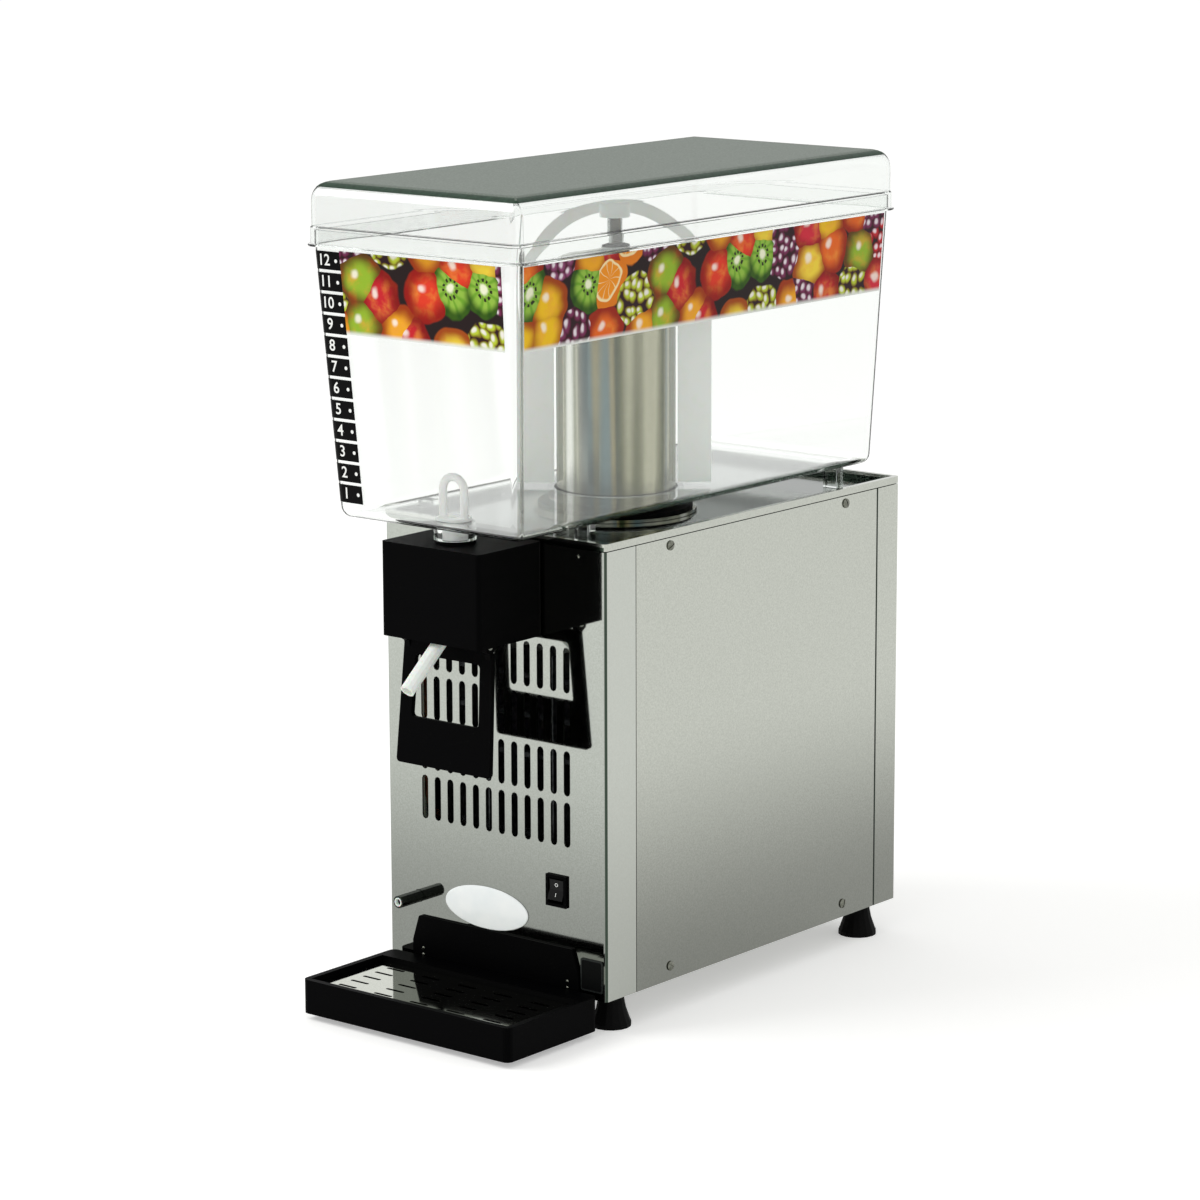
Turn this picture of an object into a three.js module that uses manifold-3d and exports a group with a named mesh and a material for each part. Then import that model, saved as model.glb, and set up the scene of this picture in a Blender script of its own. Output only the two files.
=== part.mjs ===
// A refrigerated juice dispenser with a pinch tap, in millimetres.
// +Z is up, +X is to the right seen from the front, and the front faces -Y.
// Until the last lines the front panel lies in the plane y = 0 and the table at z = 0.

import * as THREE from "three";
import { mergeVertices, toCreasedNormals } from "three/addons/utils/BufferGeometryUtils.js";
import Module from "manifold-3d";

const wasm = await Module();
wasm.setup();

// Fits
const clear = 0.3;
const overrun = 2;
const weld = 0.0001;
const crease = 0.6;

// Cabinet of folded stainless sheet
const cabinetWidth = 210;
const cabinetDepth = 363;
const cabinetHeight = 339;
const footHeight = 26;
const sheet = 1.2;
const bendRadius = 2.6;
const frontReturn = 34.5;
const rearReturn = 29.5;
const seam = 0.7;
const tongueReach = 9;
const rimHeight = 5.3;
const deckRecess = 6;
const panFlange = 14;

// Grille in the front panel
const grilleColumns = 12;
const grilleRows = 4;
const grilleSlotWidth = 6;
const grilleSlotHeight = 33.9;
const grilleAcross = 12.46;
const grilleUp = 38.33;
const grilleLow = 110.8;

// Vents in the rear panel
const ventColumns = 2;
const ventRows = 6;
const ventLength = 62;
const ventHeight = 5;
const ventAcross = 78;
const ventUp = 18;
const ventLow = 150;

// Feet
const footRadius = 15;
const footNeck = 9.5;
const footStud = 3.5;
const footStudReach = 7;
const footSideInset = 17;
const footFrontInset = 26;
const footRearInset = 27;
const footProfileShares = [[1, 0], [1, 0.12], [0.82, 0.2], [0.3, 0.52], [0.06, 0.78], [0, 1]];

// Evaporator drum, its gasket and the shaft
const drumY = 140.7;
const drumRadius = 44.8;
const drumUnderRim = 21;
const drumShoulder = 9;
const drumCrown = 5;
const drumCrownRadius = 13;
const drumNeckRadius = 40;
const drumNeckDepth = 12;
const drumWall = 2;
const drumFlangeRadius = 62;
const drumFlange = 2.2;
const gasketRadius = 59;
const gasketHeight = 5;
const shaftBore = 8.2;
const shaftRadius = 5.6;
const shaftPinHeight = 35.5;
const shaftSocketDepth = 10;
const bushHeight = 14;
const bushFlangeRadius = 11;
const bushFlange = 2;
const sealRadius = 10.5;
const sealHeight = 3.5;

// Bowl
const bowlLeg = 15;
const bowlDepth = 198;
const bowlWall = 3;
const bowlFloorHalf = 85.3;
const bowlRimHalf = 96.3;
const bowlFloorFront = -72.5;
const bowlRimFront = -84.6;
const bowlFloorRear = 354.5;
const bowlRimRear = 359.2;
const bowlCorner = 7;
const cornerLeast = 1.5;
const bowlFloorFillet = 8;
const bowlLip = 5.6;
const bowlLipThickness = 1.6;
const bowlRimRise = 9.8;
const bowlLegWidth = 14;
const bowlLegThickness = 9;
const bowlLegAcross = 74;
const bowlLegFrontY = 15;
const bowlLegRearY = 318;
const drumGap = 1.8;
const collarWall = 4.6;

// Lid
const lidWall = 2.2;
const lidHeight = 44.5;
const lidSkirt = 11.5;
const lidSkirtGap = 0.6;
const lidStep = 1;
const lidFillet = 14;
const lidCorner = 8;

// Agitator
const agitatorSpan = 71.4;
const agitatorBand = 9.6;
const agitatorThickness = 3.2;
const agitatorTurn = 39;
const agitatorCrownOverPin = 6.3;
const paddleGap = 1.4;
const paddleUnderRim = 72;
const paddleFloorGap = 3;
const hubRadius = 11.4;
const hubHeight = 10;
const hubCap = 2.6;

// Tap housing
const housingWidth = 92.8;
const housingDepth = 70;
const housingHeight = 69.5;
const housingDrop = 4;
const housingWall = 2.5;
const housingCorner = 3;

// Outlet, silicone tube and pinch
const outletReach = 41.7;
const bossRadius = 15.5;
const bossBore = 9.6;
const outletSealHeight = 2;
const fittingFlange = 2.4;
const fittingFlangeRadius = 13;
const loopHalf = 10;
const loopRod = 3;
const loopHeight = 32;
const loopBend = 9.5;
const tubeRadius = 5.5;
const tubeWall = 1.5;
const tubeBend = 30;
const tubeKneeOverHousing = 13.4;
const spoutRun = 69.8;
const spoutAngle = 39.4 * Math.PI / 180;
const pinchRun = 16.5;
const pinchLength = 20;
const pinchBore = 0.25;
const spreadShare = 0.6;
const pinchBarRadius = 2.5;
const anvilWidth = 30;
const anvilTip = 3;
const anvilRoot = 9;
const anvilReach = 40;

// Tap lever
const leverPinY = 30;
const leverPinOverHousing = 16.5;
const leverPinRadius = 2.5;
const leverPinSeat = 1;
const leverFace = 19.2;
const leverHeadDrop = 23.3;
const leverHeight = 91;
const leverTopHalf = 41.6;
const leverFootHalf = 44.6;
const leverThickness = 4;
const leverTilt = 4.7;
const leverHead = 10;
const leverApron = 35;
const leverBar = 11.1;
const leverRound = 3;
const armThickness = 5;
const armRadius = 5.5;
const armHalf = 38.5;
const pinBossRadius = 6;
const pinBossHeight = 1;

// Torsion spring of the lever
const springWire = 0.8;
const springTurns = 5;
const springPitch = 2.2;
const springGap = 0.6;
const springX = 22;
const springFootGap = 1.8;

// Drip tray, its grid and its holder
const trayWidth = 199;
const trayFront = 104.5;
const trayBack = 3.3;
const trayLow = 5;
const trayHeight = 25.8;
const trayWall = 2.5;
const trayRim = 5.8;
const trayCorner = 5;
const gridSide = 4.8;
const gridFront = 4.8;
const gridBack = 18;
const gridDrop = 4.2;
const gridLedge = 3;
const gridThickness = 1.5;
const gridSlotLength = 17.5;
const gridSlotWidth = 3;
const gridColumns = 5;
const gridRows = 5;
const gridAcross = 35;
const gridAlong = 13.3;
const holderThickness = 2;
const holderHeight = 39.5;
const holderUnderPanel = 4.3;
const holderTopHalf = 74.3;
const holderFootHalf = 80.5;
const holderShoulder = 20;
const tongueHalf = 7;
const tongueAcross = 58;
const tongueThickness = 3;
const tongueForward = 15;
const tongueDrop = 4.5;

// Condensate drain
const drainX = -76;
const drainUp = 49.6;
const drainRadius = 4.75;
const drainWall = 1.2;
const drainForward = 23.5;
const drainInside = 22;
const drainCollar = 7.5;
const drainCollarThickness = 2;
const drainSocket = 12;
const hoseRadius = 6.5;
const hoseBend = 16;
const hoseFlange = 9;
const hoseFlangeThickness = 2;
const deckDrainY = 62;

// Rocker switch
const switchInset = 46;
const switchUp = 76.7;
const switchWidth = 19.1;
const switchHeight = 23.8;
const switchProud = 1.8;
const switchBodyDepth = 14;
const switchFrame = 2.4;
const rockerRadius = 9.2;
const rockerPinRadius = 1.2;
const rockerPinReach = 1.2;
const rockerPivot = 3;
const rockerSpan = 125 * Math.PI / 180;
const rockerBack = 60 * Math.PI / 180;
const rockerDip = 4;
const rockerRest = 8;

// Inlet gland for the lead
const glandInset = 39;
const glandUp = 44;
const glandRadius = 9;
const glandBarrel = 6.5;
const glandBore = 3.6;
const glandProud = 6;
const glandInside = 9;

// Cooling set
const condenserInset = 43;
const condenserLow = 112;
const condenserHeight = 160;
const condenserDepth = 26;
const condenserGap = 16;
const finCount = 7;
const finThickness = 1;
const coilRadius = 3.2;
const coilRuns = 5;
const coilPitch = 30;
const coilEnd = 17;
const shroudThickness = 2;
const shroudHalf = 66;
const shroudCollar = 10;
const shroudFoot = 12;
const fanRadius = 56;
const fanTip = 3;
const fanHub = 17;
const fanDepth = 18;
const fanGap = 4;
const fanBlades = 5;
const fanBladeThickness = 2;
const fanBladeWidth = 30;
const fanPitchShares = [1.25, 1, 0.8];
const fanPitch = 30 * Math.PI / 180;
const fanMotorRadius = 29;
const fanMotorDepth = 42;
const fanShaftRadius = 3;
const fanArm = 6;
const fanArmHalf = 64;
const compressorRadius = 58;
const compressorHeight = 150;
const compressorRearGap = 22;
const compressorShellShare = 0.95;
const compressorShares = [
  [0, 0], [0.62, 0], [0.86, 0.04], [compressorShellShare, 0.12], [compressorShellShare, 0.48],
  [1, 0.48], [1, 0.5], [compressorShellShare, 0.5], [compressorShellShare, 0.8],
  [0.86, 0.91], [0.62, 0.975], [0.3, 1], [0, 1],
];
const compressorPlate = 2.5;
const compressorPlateHalf = 55;
const grommetRadius = 8;
const grommetHeight = 7;
const grommetAcross = 46;
const stubAcross = 22;
const stubRadius = 6;
const stubRise = 6;
const stubBore = 8;
const pipeRadius = 3.5;
const liquidRadius = 2;
const pipeBend = 14;
const pipeInset = 14;
const neckPipeReach = 33;
const neckPipeRise = 18;
const crossPipeZ = 300;

// Agitator motor under the deck
const bracketHalf = 46;
const bracketAlong = 22;
const bracketFoot = 10;
const bracketThickness = 2;
const gearboxHalf = 28;
const gearboxHeight = 24;
const gearboxCorner = 8;
const motorRadius = 26;
const motorHeight = 36;

// Terminal box and thermostat
const terminalWidth = 40;
const terminalDepth = 26;
const terminalHeight = 48;
const terminalGap = 6;
const thermostatWidth = 30;
const thermostatHeight = 26;
const thermostatDepth = 20;
const thermostatX = -30;
const thermostatUp = 76;

// Steps of the round forms
const arcSteps = 2;
const hoopSteps = 16;
const cornerSteps = 4;
const filletSteps = 3;
const roundSteps = 32;
const hiddenSteps = 16;
const smallSteps = 12;
const pipeSides = 6;
const hoseSides = 10;
const tubeSides = 12;
const tubeStation = 4;
const springSides = 5;
const springSteps = 8;

// Places that follow from the sizes
const halfWidth = cabinetWidth / 2;
const footX = halfWidth - footSideInset;
const switchX = halfWidth - switchInset;
const glandX = halfWidth - glandInset;
const pipeX = halfWidth - pipeInset;
const cabinetLow = footHeight;
const cabinetTop = footHeight + cabinetHeight;
const wallTop = cabinetTop - rimHeight - seam;
const deckTop = cabinetTop - deckRecess;
const deckUnder = deckTop - sheet;
const innerInset = 2 * sheet + 2 * clear;
const flangeTop = deckTop + clear + drumFlange;
const gasketTop = flangeTop + clear + gasketHeight;
const neckLow = deckTop - drumNeckDepth;
const bowlLow = deckTop + bowlLeg;
const drumTop = bowlLow + bowlDepth - drumUnderRim;
const shaftTop = drumTop + shaftPinHeight;
const lipTop = bowlLow + bowlDepth + bowlLipThickness;
const bowlTop = lipTop + bowlRimRise;
const lidLow = lipTop + clear;
const lidHalf = bowlRimHalf + lidSkirtGap + lidWall;
const lidFront = bowlRimFront - lidSkirtGap - lidWall;
const lidRear = bowlRimRear + lidSkirtGap + lidWall;
const lidTop = lidLow + lidHeight;
const housingTop = cabinetTop - housingDrop;
const housingLow = housingTop - housingHeight;
const housingHalf = housingWidth / 2;
const bossLow = housingTop + 2 * clear + outletSealHeight;
const trayTop = trayLow + trayHeight;
const gridTop = trayTop - gridDrop;
const condenserHalf = halfWidth - condenserInset;
const condenserY = sheet + condenserGap;
const coilY = condenserY + condenserDepth / 2;
const shroudY = condenserY + condenserDepth + clear;
const fanY = shroudY + shroudThickness + fanGap;
const fanZ = condenserLow + condenserHeight / 2;
const fanMotorY = fanY + fanDepth + fanGap;
const compressorY = cabinetDepth - compressorRearGap - compressorRadius;
const grommetTop = cabinetLow + sheet + clear + grommetHeight;

const alongX = new THREE.Vector3(1, 0, 0);
const alongY = new THREE.Vector3(0, 1, 0);
const alongZ = new THREE.Vector3(0, 0, 1);
const at = (x, y, z) => new THREE.Vector3(x, y, z);

// Closed three.js geometry becomes a solid that can be joined and cut.
function solid(geometry) {
  const bare = geometry.clone();
  bare.deleteAttribute("normal");
  bare.deleteAttribute("uv");
  const merged = mergeVertices(bare, weld);
  const order = merged.index.array;
  const kept = [];
  for (let i = 0; i < order.length; i += 3) {
    const [a, b, c] = order.slice(i, i + 3);
    if (a !== b && b !== c && c !== a) kept.push(a, b, c);
  }
  const mesh = new wasm.Mesh({
    numProp: 3,
    vertProperties: new Float32Array(merged.attributes.position.array),
    triVerts: new Uint32Array(kept),
  });
  return new wasm.Manifold(mesh);
}

function geometryOf(body) {
  const mesh = body.getMesh();
  const geometry = new THREE.BufferGeometry();
  geometry.setAttribute("position", new THREE.BufferAttribute(mesh.vertProperties, 3));
  geometry.setIndex(new THREE.BufferAttribute(mesh.triVerts, 1));
  return toCreasedNormals(geometry, crease);
}

// Prisms along the three axes; the outline is drawn in the other two.
function extruded(shapes, length, curveSegments = arcSteps) {
  return new THREE.ExtrudeGeometry(shapes, { depth: length, bevelEnabled: false, curveSegments });
}

function prismZ(shapes, low, high) {
  return solid(extruded(shapes, high - low).translate(0, 0, low));
}

function prismY(shapes, front, back, steps = arcSteps) {
  return solid(extruded(shapes, back - front, steps).rotateX(Math.PI / 2).translate(0, back, 0));
}

const yzPlane = new THREE.Matrix4().makeBasis(
  new THREE.Vector3(0, 1, 0),
  new THREE.Vector3(0, 0, 1),
  new THREE.Vector3(1, 0, 0),
);

function prismX(shapes, left, right) {
  return solid(extruded(shapes, right - left).applyMatrix4(yzPlane).translate(left, 0, 0));
}

// Turned solids about an axis through a place; the profile runs in radius and height.
function turned(profile, place, axis = "z", steps = roundSteps) {
  const points = profile.map(([radius, height]) => new THREE.Vector2(radius, height));
  const geometry = new THREE.LatheGeometry(points, steps);
  if (axis === "z") geometry.rotateX(Math.PI / 2);
  if (axis === "x") geometry.rotateZ(-Math.PI / 2);
  return solid(geometry.translate(...place));
}

const disc = (radius, low, high) => [[0, low], [radius, low], [radius, high], [0, high]];

const ring = (inner, outer, low, high) => [
  [inner, low], [outer, low], [outer, high], [inner, high], [inner, low],
];

// Outlines
function polygon(points) {
  return new THREE.Shape(points.map(([across, up]) => new THREE.Vector2(across, up)));
}

function rectangle(left, right, low, high) {
  return polygon([[left, low], [right, low], [right, high], [left, high]]);
}

function roundedRectangle(left, right, low, high, radius) {
  const shape = new THREE.Shape();
  shape.absarc(right - radius, low + radius, radius, -Math.PI / 2, 0);
  shape.absarc(right - radius, high - radius, radius, 0, Math.PI / 2);
  shape.absarc(left + radius, high - radius, radius, Math.PI / 2, Math.PI);
  shape.absarc(left + radius, low + radius, radius, Math.PI, 3 * Math.PI / 2);
  return shape;
}

// A polygon with its corners rounded
function softPolygon(points, bend) {
  const corners = points.map(([across, up]) => at(across, up, 0));
  const start = corners[0].clone().lerp(corners[corners.length - 1], 1 / 2);
  const loop = route([start, ...corners, start], bend);
  return polygon(loop.slice(1).map((point) => [point.x, point.y]));
}

// A slot or link between two round ends of one radius
function link(fromAcross, fromUp, toAcross, toUp, radius) {
  const angle = Math.atan2(toUp - fromUp, toAcross - fromAcross);
  const shape = new THREE.Shape();
  shape.absarc(fromAcross, fromUp, radius, angle + Math.PI / 2, angle + 3 * Math.PI / 2);
  shape.absarc(toAcross, toUp, radius, angle - Math.PI / 2, angle + Math.PI / 2);
  return shape;
}

function uprightSlot(across, up, width, height) {
  const reach = (height - width) / 2;
  return link(across, up - reach, across, up + reach, width / 2);
}

function levelSlot(across, up, length, width) {
  const reach = (length - width) / 2;
  return link(across - reach, up, across + reach, up, width / 2);
}

function centred(count, pitch) {
  return Array.from({ length: count }, (_, i) => (i - (count - 1) / 2) * pitch);
}

// A closed solid through rings of equal count, each counter-clockwise seen from the last one.
function loft(rings) {
  const count = rings[0].length;
  const faces = [];
  for (let k = 0; k + 1 < rings.length; k += 1) {
    for (let i = 0; i < count; i += 1) {
      const a = k * count + i;
      const b = k * count + (i + 1) % count;
      faces.push(a, b, b + count, a, b + count, a + count);
    }
  }
  const last = (rings.length - 1) * count;
  for (let i = 1; i + 1 < count; i += 1) {
    faces.push(0, i + 1, i);
    faces.push(last, last + i, last + i + 1);
  }
  const geometry = new THREE.BufferGeometry();
  const positions = rings.flat().flatMap((point) => point.toArray());
  geometry.setAttribute("position", new THREE.Float32BufferAttribute(positions, 3));
  geometry.setIndex(faces);
  return solid(geometry);
}

// A level rounded rectangle as a ring of points; its corners are never quite sharp.
function levelRing(z, half, front, rear, corner) {
  const radius = Math.max(corner, cornerLeast);
  const centres = [
    [half - radius, front + radius],
    [half - radius, rear - radius],
    [radius - half, rear - radius],
    [radius - half, front + radius],
  ];
  return centres.flatMap(([x, y], quarter) => (
    Array.from({ length: cornerSteps + 1 }, (_, i) => {
      const angle = (quarter - 1 + i / cornerSteps) * Math.PI / 2;
      return new THREE.Vector3(x + radius * Math.cos(angle), y + radius * Math.sin(angle), z);
    })
  ));
}

// A route through corners, each rounded to a bend radius
function route(corners, bend) {
  const points = [corners[0]];
  for (let i = 1; i + 1 < corners.length; i += 1) {
    const corner = corners[i];
    const back = corners[i - 1].clone().sub(corner).normalize();
    const on = corners[i + 1].clone().sub(corner).normalize();
    const opening = back.angleTo(on);
    const turn = Math.PI - opening;
    const middle = back.clone().add(on).normalize();
    const centre = corner.clone().addScaledVector(middle, bend / Math.sin(opening / 2));
    const tangent = bend / Math.tan(opening / 2);
    const from = corner.clone().addScaledVector(back, tangent).sub(centre);
    const to = corner.clone().addScaledVector(on, tangent).sub(centre);
    for (let k = 0; k <= filletSteps; k += 1) {
      const share = k / filletSteps;
      const point = centre.clone();
      point.addScaledVector(from, Math.sin((1 - share) * turn) / Math.sin(turn));
      point.addScaledVector(to, Math.sin(share * turn) / Math.sin(turn));
      points.push(point);
    }
  }
  points.push(corners[corners.length - 1]);
  return points;
}

// A path with more points on its long straight runs
function spaced(points, pitch) {
  return points.flatMap((point, i) => {
    if (i === 0) return [point];
    const before = points[i - 1];
    const count = Math.ceil(before.distanceTo(point) / pitch);
    return Array.from({ length: count }, (_, k) => before.clone().lerp(point, (k + 1) / count));
  });
}

// Rings round a path; sizeAt gives the half width along the first side and across it.
function sweepRings(points, firstSide, sizeAt, sides) {
  const side = firstSide.clone();
  return points.map((point, i) => {
    const before = points[Math.max(i - 1, 0)];
    const after = points[Math.min(i + 1, points.length - 1)];
    const heading = after.clone().sub(before).normalize();
    side.addScaledVector(heading, -side.dot(heading)).normalize();
    const across = heading.clone().cross(side);
    const [wide, deep] = sizeAt(point);
    return Array.from({ length: sides }, (_, k) => {
      const angle = 2 * Math.PI * k / sides;
      return point.clone()
        .addScaledVector(side, wide * Math.cos(angle))
        .addScaledVector(across, deep * Math.sin(angle));
    });
  });
}

function pipe(corners, bend, radius, firstSide, sides = pipeSides) {
  return loft(sweepRings(route(corners, bend), firstSide, () => [radius, radius], sides));
}

// The least gap of a wound wire to itself, between points at least half a turn apart along it
function leastGap(points, wire, halfTurn) {
  const fine = spaced(points, wire);
  const runs = [0];
  for (let i = 1; i < fine.length; i += 1) {
    runs.push(runs[i - 1] + fine[i].distanceTo(fine[i - 1]));
  }
  let least = Infinity;
  fine.forEach((point, i) => {
    for (let j = i + 1; j < fine.length; j += 1) {
      if (runs[j] - runs[i] >= halfTurn) least = Math.min(least, point.distanceTo(fine[j]));
    }
  });
  return least - 2 * wire;
}

// Casing sheets
function channelOutline(depth) {
  const inner = halfWidth - sheet;
  const shape = new THREE.Shape();
  shape.moveTo(-halfWidth, depth);
  shape.absarc(bendRadius - halfWidth, bendRadius, bendRadius, Math.PI, 3 * Math.PI / 2);
  shape.absarc(halfWidth - bendRadius, bendRadius, bendRadius, -Math.PI / 2, 0);
  shape.lineTo(halfWidth, depth);
  shape.lineTo(inner, depth);
  shape.absarc(halfWidth - bendRadius, bendRadius, bendRadius - sheet, 0, -Math.PI / 2, true);
  shape.absarc(bendRadius - halfWidth, bendRadius, bendRadius - sheet, -Math.PI / 2, -Math.PI, true);
  shape.lineTo(-inner, depth);
  return shape;
}

function frontPanel() {
  const slots = centred(grilleColumns, grilleAcross).flatMap((across) => (
    Array.from({ length: grilleRows }, (_, row) => (
      uprightSlot(across, cabinetLow + grilleLow + grilleSlotHeight / 2 + row * grilleUp - clear,
        grilleSlotWidth, grilleSlotHeight)
    ))
  ));
  const switchHalf = switchWidth / 2 - switchFrame / 2 + clear;
  const switchTall = switchHeight / 2 - switchFrame / 2 + clear;
  const switchZ = cabinetLow + switchUp;
  const opening = rectangle(
    switchX - switchHalf, switchX + switchHalf,
    switchZ - switchTall, switchZ + switchTall,
  );
  const drainHole = disc(drainRadius + clear, -overrun, sheet + overrun);
  return prismZ(channelOutline(frontReturn), cabinetLow, wallTop)
    .subtract(prismY([...slots, opening], -overrun, sheet + overrun))
    .subtract(turned(drainHole, [drainX, 0, cabinetLow + drainUp], "y", smallSteps));
}

function rearPanel() {
  const outline = extruded(channelOutline(rearReturn), wallTop - cabinetLow);
  const sheetBody = solid(outline.rotateZ(Math.PI).translate(0, cabinetDepth, cabinetLow));
  const vents = centred(ventColumns, ventAcross).flatMap((across) => (
    Array.from({ length: ventRows }, (_, row) => (
      levelSlot(across, cabinetLow + ventLow + row * ventUp, ventLength, ventHeight)
    ))
  ));
  const glandHole = disc(glandBarrel + clear, -sheet - overrun, overrun);
  return sheetBody
    .subtract(prismY(vents, cabinetDepth - sheet - overrun, cabinetDepth + overrun))
    .subtract(turned(glandHole, [glandX, cabinetDepth, cabinetLow + glandUp], "y", smallSteps));
}

// A side sheet lies flush between the two wraps and tucks behind them with a joggled tongue.
function sidePanel(side) {
  const front = frontReturn + seam;
  const rear = cabinetDepth - rearReturn - seam;
  const behind = halfWidth - sheet - clear;
  const tuck = behind - sheet;
  const step = 2 * sheet;
  const outline = [
    [halfWidth, front], [halfWidth, rear], [behind, rear], [behind, rear + tongueReach],
    [tuck, rear + tongueReach], [tuck, rear - step], [halfWidth - sheet, rear - step - sheet - clear],
    [halfWidth - sheet, front + step + sheet + clear], [tuck, front + step],
    [tuck, front - tongueReach], [behind, front - tongueReach], [behind, front],
  ];
  return prismZ(polygon(outline.map(([x, y]) => [side * x, y])), cabinetLow, wallTop);
}

const footPlaces = [
  ["foot_front_left", -footX, footFrontInset],
  ["foot_front_right", footX, footFrontInset],
  ["foot_rear_left", -footX, cabinetDepth - footRearInset],
  ["foot_rear_right", footX, cabinetDepth - footRearInset],
];

function basePan() {
  const inset = innerInset;
  const outer = rectangle(inset - halfWidth, halfWidth - inset, inset, cabinetDepth - inset);
  const wall = inset + sheet;
  const inner = rectangle(wall - halfWidth, halfWidth - wall, wall, cabinetDepth - wall);
  let pan = prismZ(outer, cabinetLow, cabinetLow + panFlange)
    .subtract(prismZ(inner, cabinetLow + sheet, cabinetLow + panFlange + overrun));
  for (const [, x, y] of footPlaces) {
    const hole = disc(footStud + clear, cabinetLow - overrun, cabinetLow + sheet + overrun);
    pan = pan.subtract(turned(hole, [x, y, 0], "z", smallSteps));
  }
  return pan;
}

function topDeck() {
  const inset = innerInset;
  const wall = inset + sheet;
  const rim = roundedRectangle(-halfWidth, halfWidth, 0, cabinetDepth, bendRadius);
  const pan = rectangle(inset - halfWidth, halfWidth - inset, inset, cabinetDepth - inset);
  const pocket = rectangle(wall - halfWidth, halfWidth - wall, wall, cabinetDepth - wall);
  const drumHole = disc(drumNeckRadius + clear, deckUnder - overrun, deckTop + overrun);
  const drainHole = disc(drainRadius - drainWall, deckUnder - overrun, deckTop + overrun);
  return prismZ(rim, cabinetTop - rimHeight, cabinetTop)
    .add(prismZ(pan, deckUnder, cabinetTop - rimHeight + sheet))
    .subtract(prismZ(pocket, deckTop, cabinetTop + overrun))
    .subtract(turned(drumHole, [0, drumY, 0]))
    .subtract(turned(drainHole, [drainX, deckDrainY, 0], "z", smallSteps));
}

function foot(x, y) {
  const top = cabinetLow - clear;
  const profile = [[0, 0]];
  for (const [outShare, upShare] of footProfileShares) {
    profile.push([footNeck + (footRadius - footNeck) * outShare, top * upShare]);
  }
  profile.push([footStud, top], [footStud, cabinetLow + footStudReach], [0, cabinetLow + footStudReach]);
  return turned(profile, [x, y, 0], "z", hiddenSteps);
}

// Evaporator: a stainless shell on a flange, with a tube for the shaft and an open neck
function evaporatorDrum() {
  const low = neckLow;
  const neckBore = drumNeckRadius - drumWall;
  const shoulderLow = drumTop - drumCrown - drumShoulder;
  const shoulder = Array.from({ length: cornerSteps + 1 }, (_, k) => {
    const angle = k / cornerSteps * Math.PI / 2;
    return [
      drumRadius - drumShoulder * (1 - Math.cos(angle)),
      shoulderLow + drumShoulder * Math.sin(angle),
    ];
  });
  const profile = [
    [neckBore, low],
    [drumNeckRadius, low],
    [drumNeckRadius, deckTop + clear],
    [drumFlangeRadius, deckTop + clear],
    [drumFlangeRadius, flangeTop],
    [drumRadius, flangeTop],
    ...shoulder,
    [drumCrownRadius, drumTop],
    [shaftBore, drumTop],
    [shaftBore, low],
    [shaftBore + drumWall, low],
    [shaftBore + drumWall, drumTop - drumWall],
    [drumCrownRadius + drumWall, drumTop - drumWall],
    [drumRadius - drumWall, shoulderLow],
    [drumRadius - drumWall, flangeTop],
    [neckBore, flangeTop],
    [neckBore, low],
  ];
  return turned(profile, [0, drumY, 0]);
}

function shaftBush(flangeLow, bodyEnd) {
  const outer = shaftBore - clear;
  const inner = shaftRadius + clear;
  const up = bodyEnd > flangeLow;
  const flangeFar = up ? flangeLow - bushFlange : flangeLow + bushFlange;
  const profile = [
    [inner, bodyEnd], [outer, bodyEnd], [outer, flangeLow], [bushFlangeRadius, flangeLow],
    [bushFlangeRadius, flangeFar], [inner, flangeFar], [inner, bodyEnd],
  ];
  return turned(up ? profile.reverse() : profile, [0, drumY, 0], "z", hiddenSteps);
}

function shaftSeal() {
  const low = drumTop + clear + bushFlange + clear;
  const profile = [
    [shaftRadius + clear, low], [sealRadius, low], [sealRadius, low + sealHeight / 2],
    [shaftRadius + 2 * clear, low + sealHeight], [shaftRadius + clear, low + sealHeight],
    [shaftRadius + clear, low],
  ];
  return turned(profile, [0, drumY, 0], "z", hiddenSteps);
}

const bracketLow = neckLow - clear - bushFlange - 2 * clear - bracketThickness;
const gearboxTop = bracketLow - clear;

function driveShaft() {
  const rod = disc(shaftRadius, gearboxTop - shaftSocketDepth, shaftTop);
  return turned(rod, [0, drumY, 0], "z", hiddenSteps);
}

function drumGasket() {
  const low = flangeTop + clear;
  const lipRadius = drumRadius + drumGap + collarWall + clear;
  const profile = [
    [drumRadius + clear, low], [gasketRadius, low], [gasketRadius, low + gasketHeight / 2],
    [lipRadius, low + gasketHeight], [drumRadius + clear, low + gasketHeight],
    [drumRadius + clear, low],
  ];
  return turned(profile, [0, drumY, 0]);
}

// Bowl: the wall leans out from the floor to the rim
function bowlAt(z, inset) {
  const share = (z - bowlLow) / bowlDepth;
  return [
    bowlFloorHalf + (bowlRimHalf - bowlFloorHalf) * share - inset,
    bowlFloorFront + (bowlRimFront - bowlFloorFront) * share + inset,
    bowlFloorRear + (bowlRimRear - bowlFloorRear) * share - inset,
    bowlCorner - inset,
  ];
}

function bowlLoft(low, high, wall) {
  const fillet = bowlFloorFillet - wall;
  const rings = [];
  for (let k = 0; k <= filletSteps; k += 1) {
    const angle = k / filletSteps * Math.PI / 2;
    const z = low + fillet * (1 - Math.cos(angle));
    const [half, front, rear, corner] = bowlAt(z, wall);
    const inset = fillet * (1 - Math.sin(angle));
    rings.push(levelRing(z, half - inset, front + inset, rear - inset, corner - inset));
  }
  const rimZ = bowlLow + bowlDepth;
  const [half, front, rear, corner] = bowlAt(rimZ, wall);
  rings.push(levelRing(rimZ, half, front, rear, corner));
  rings.push(levelRing(high, half, front, rear, corner));
  return loft(rings);
}

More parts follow.
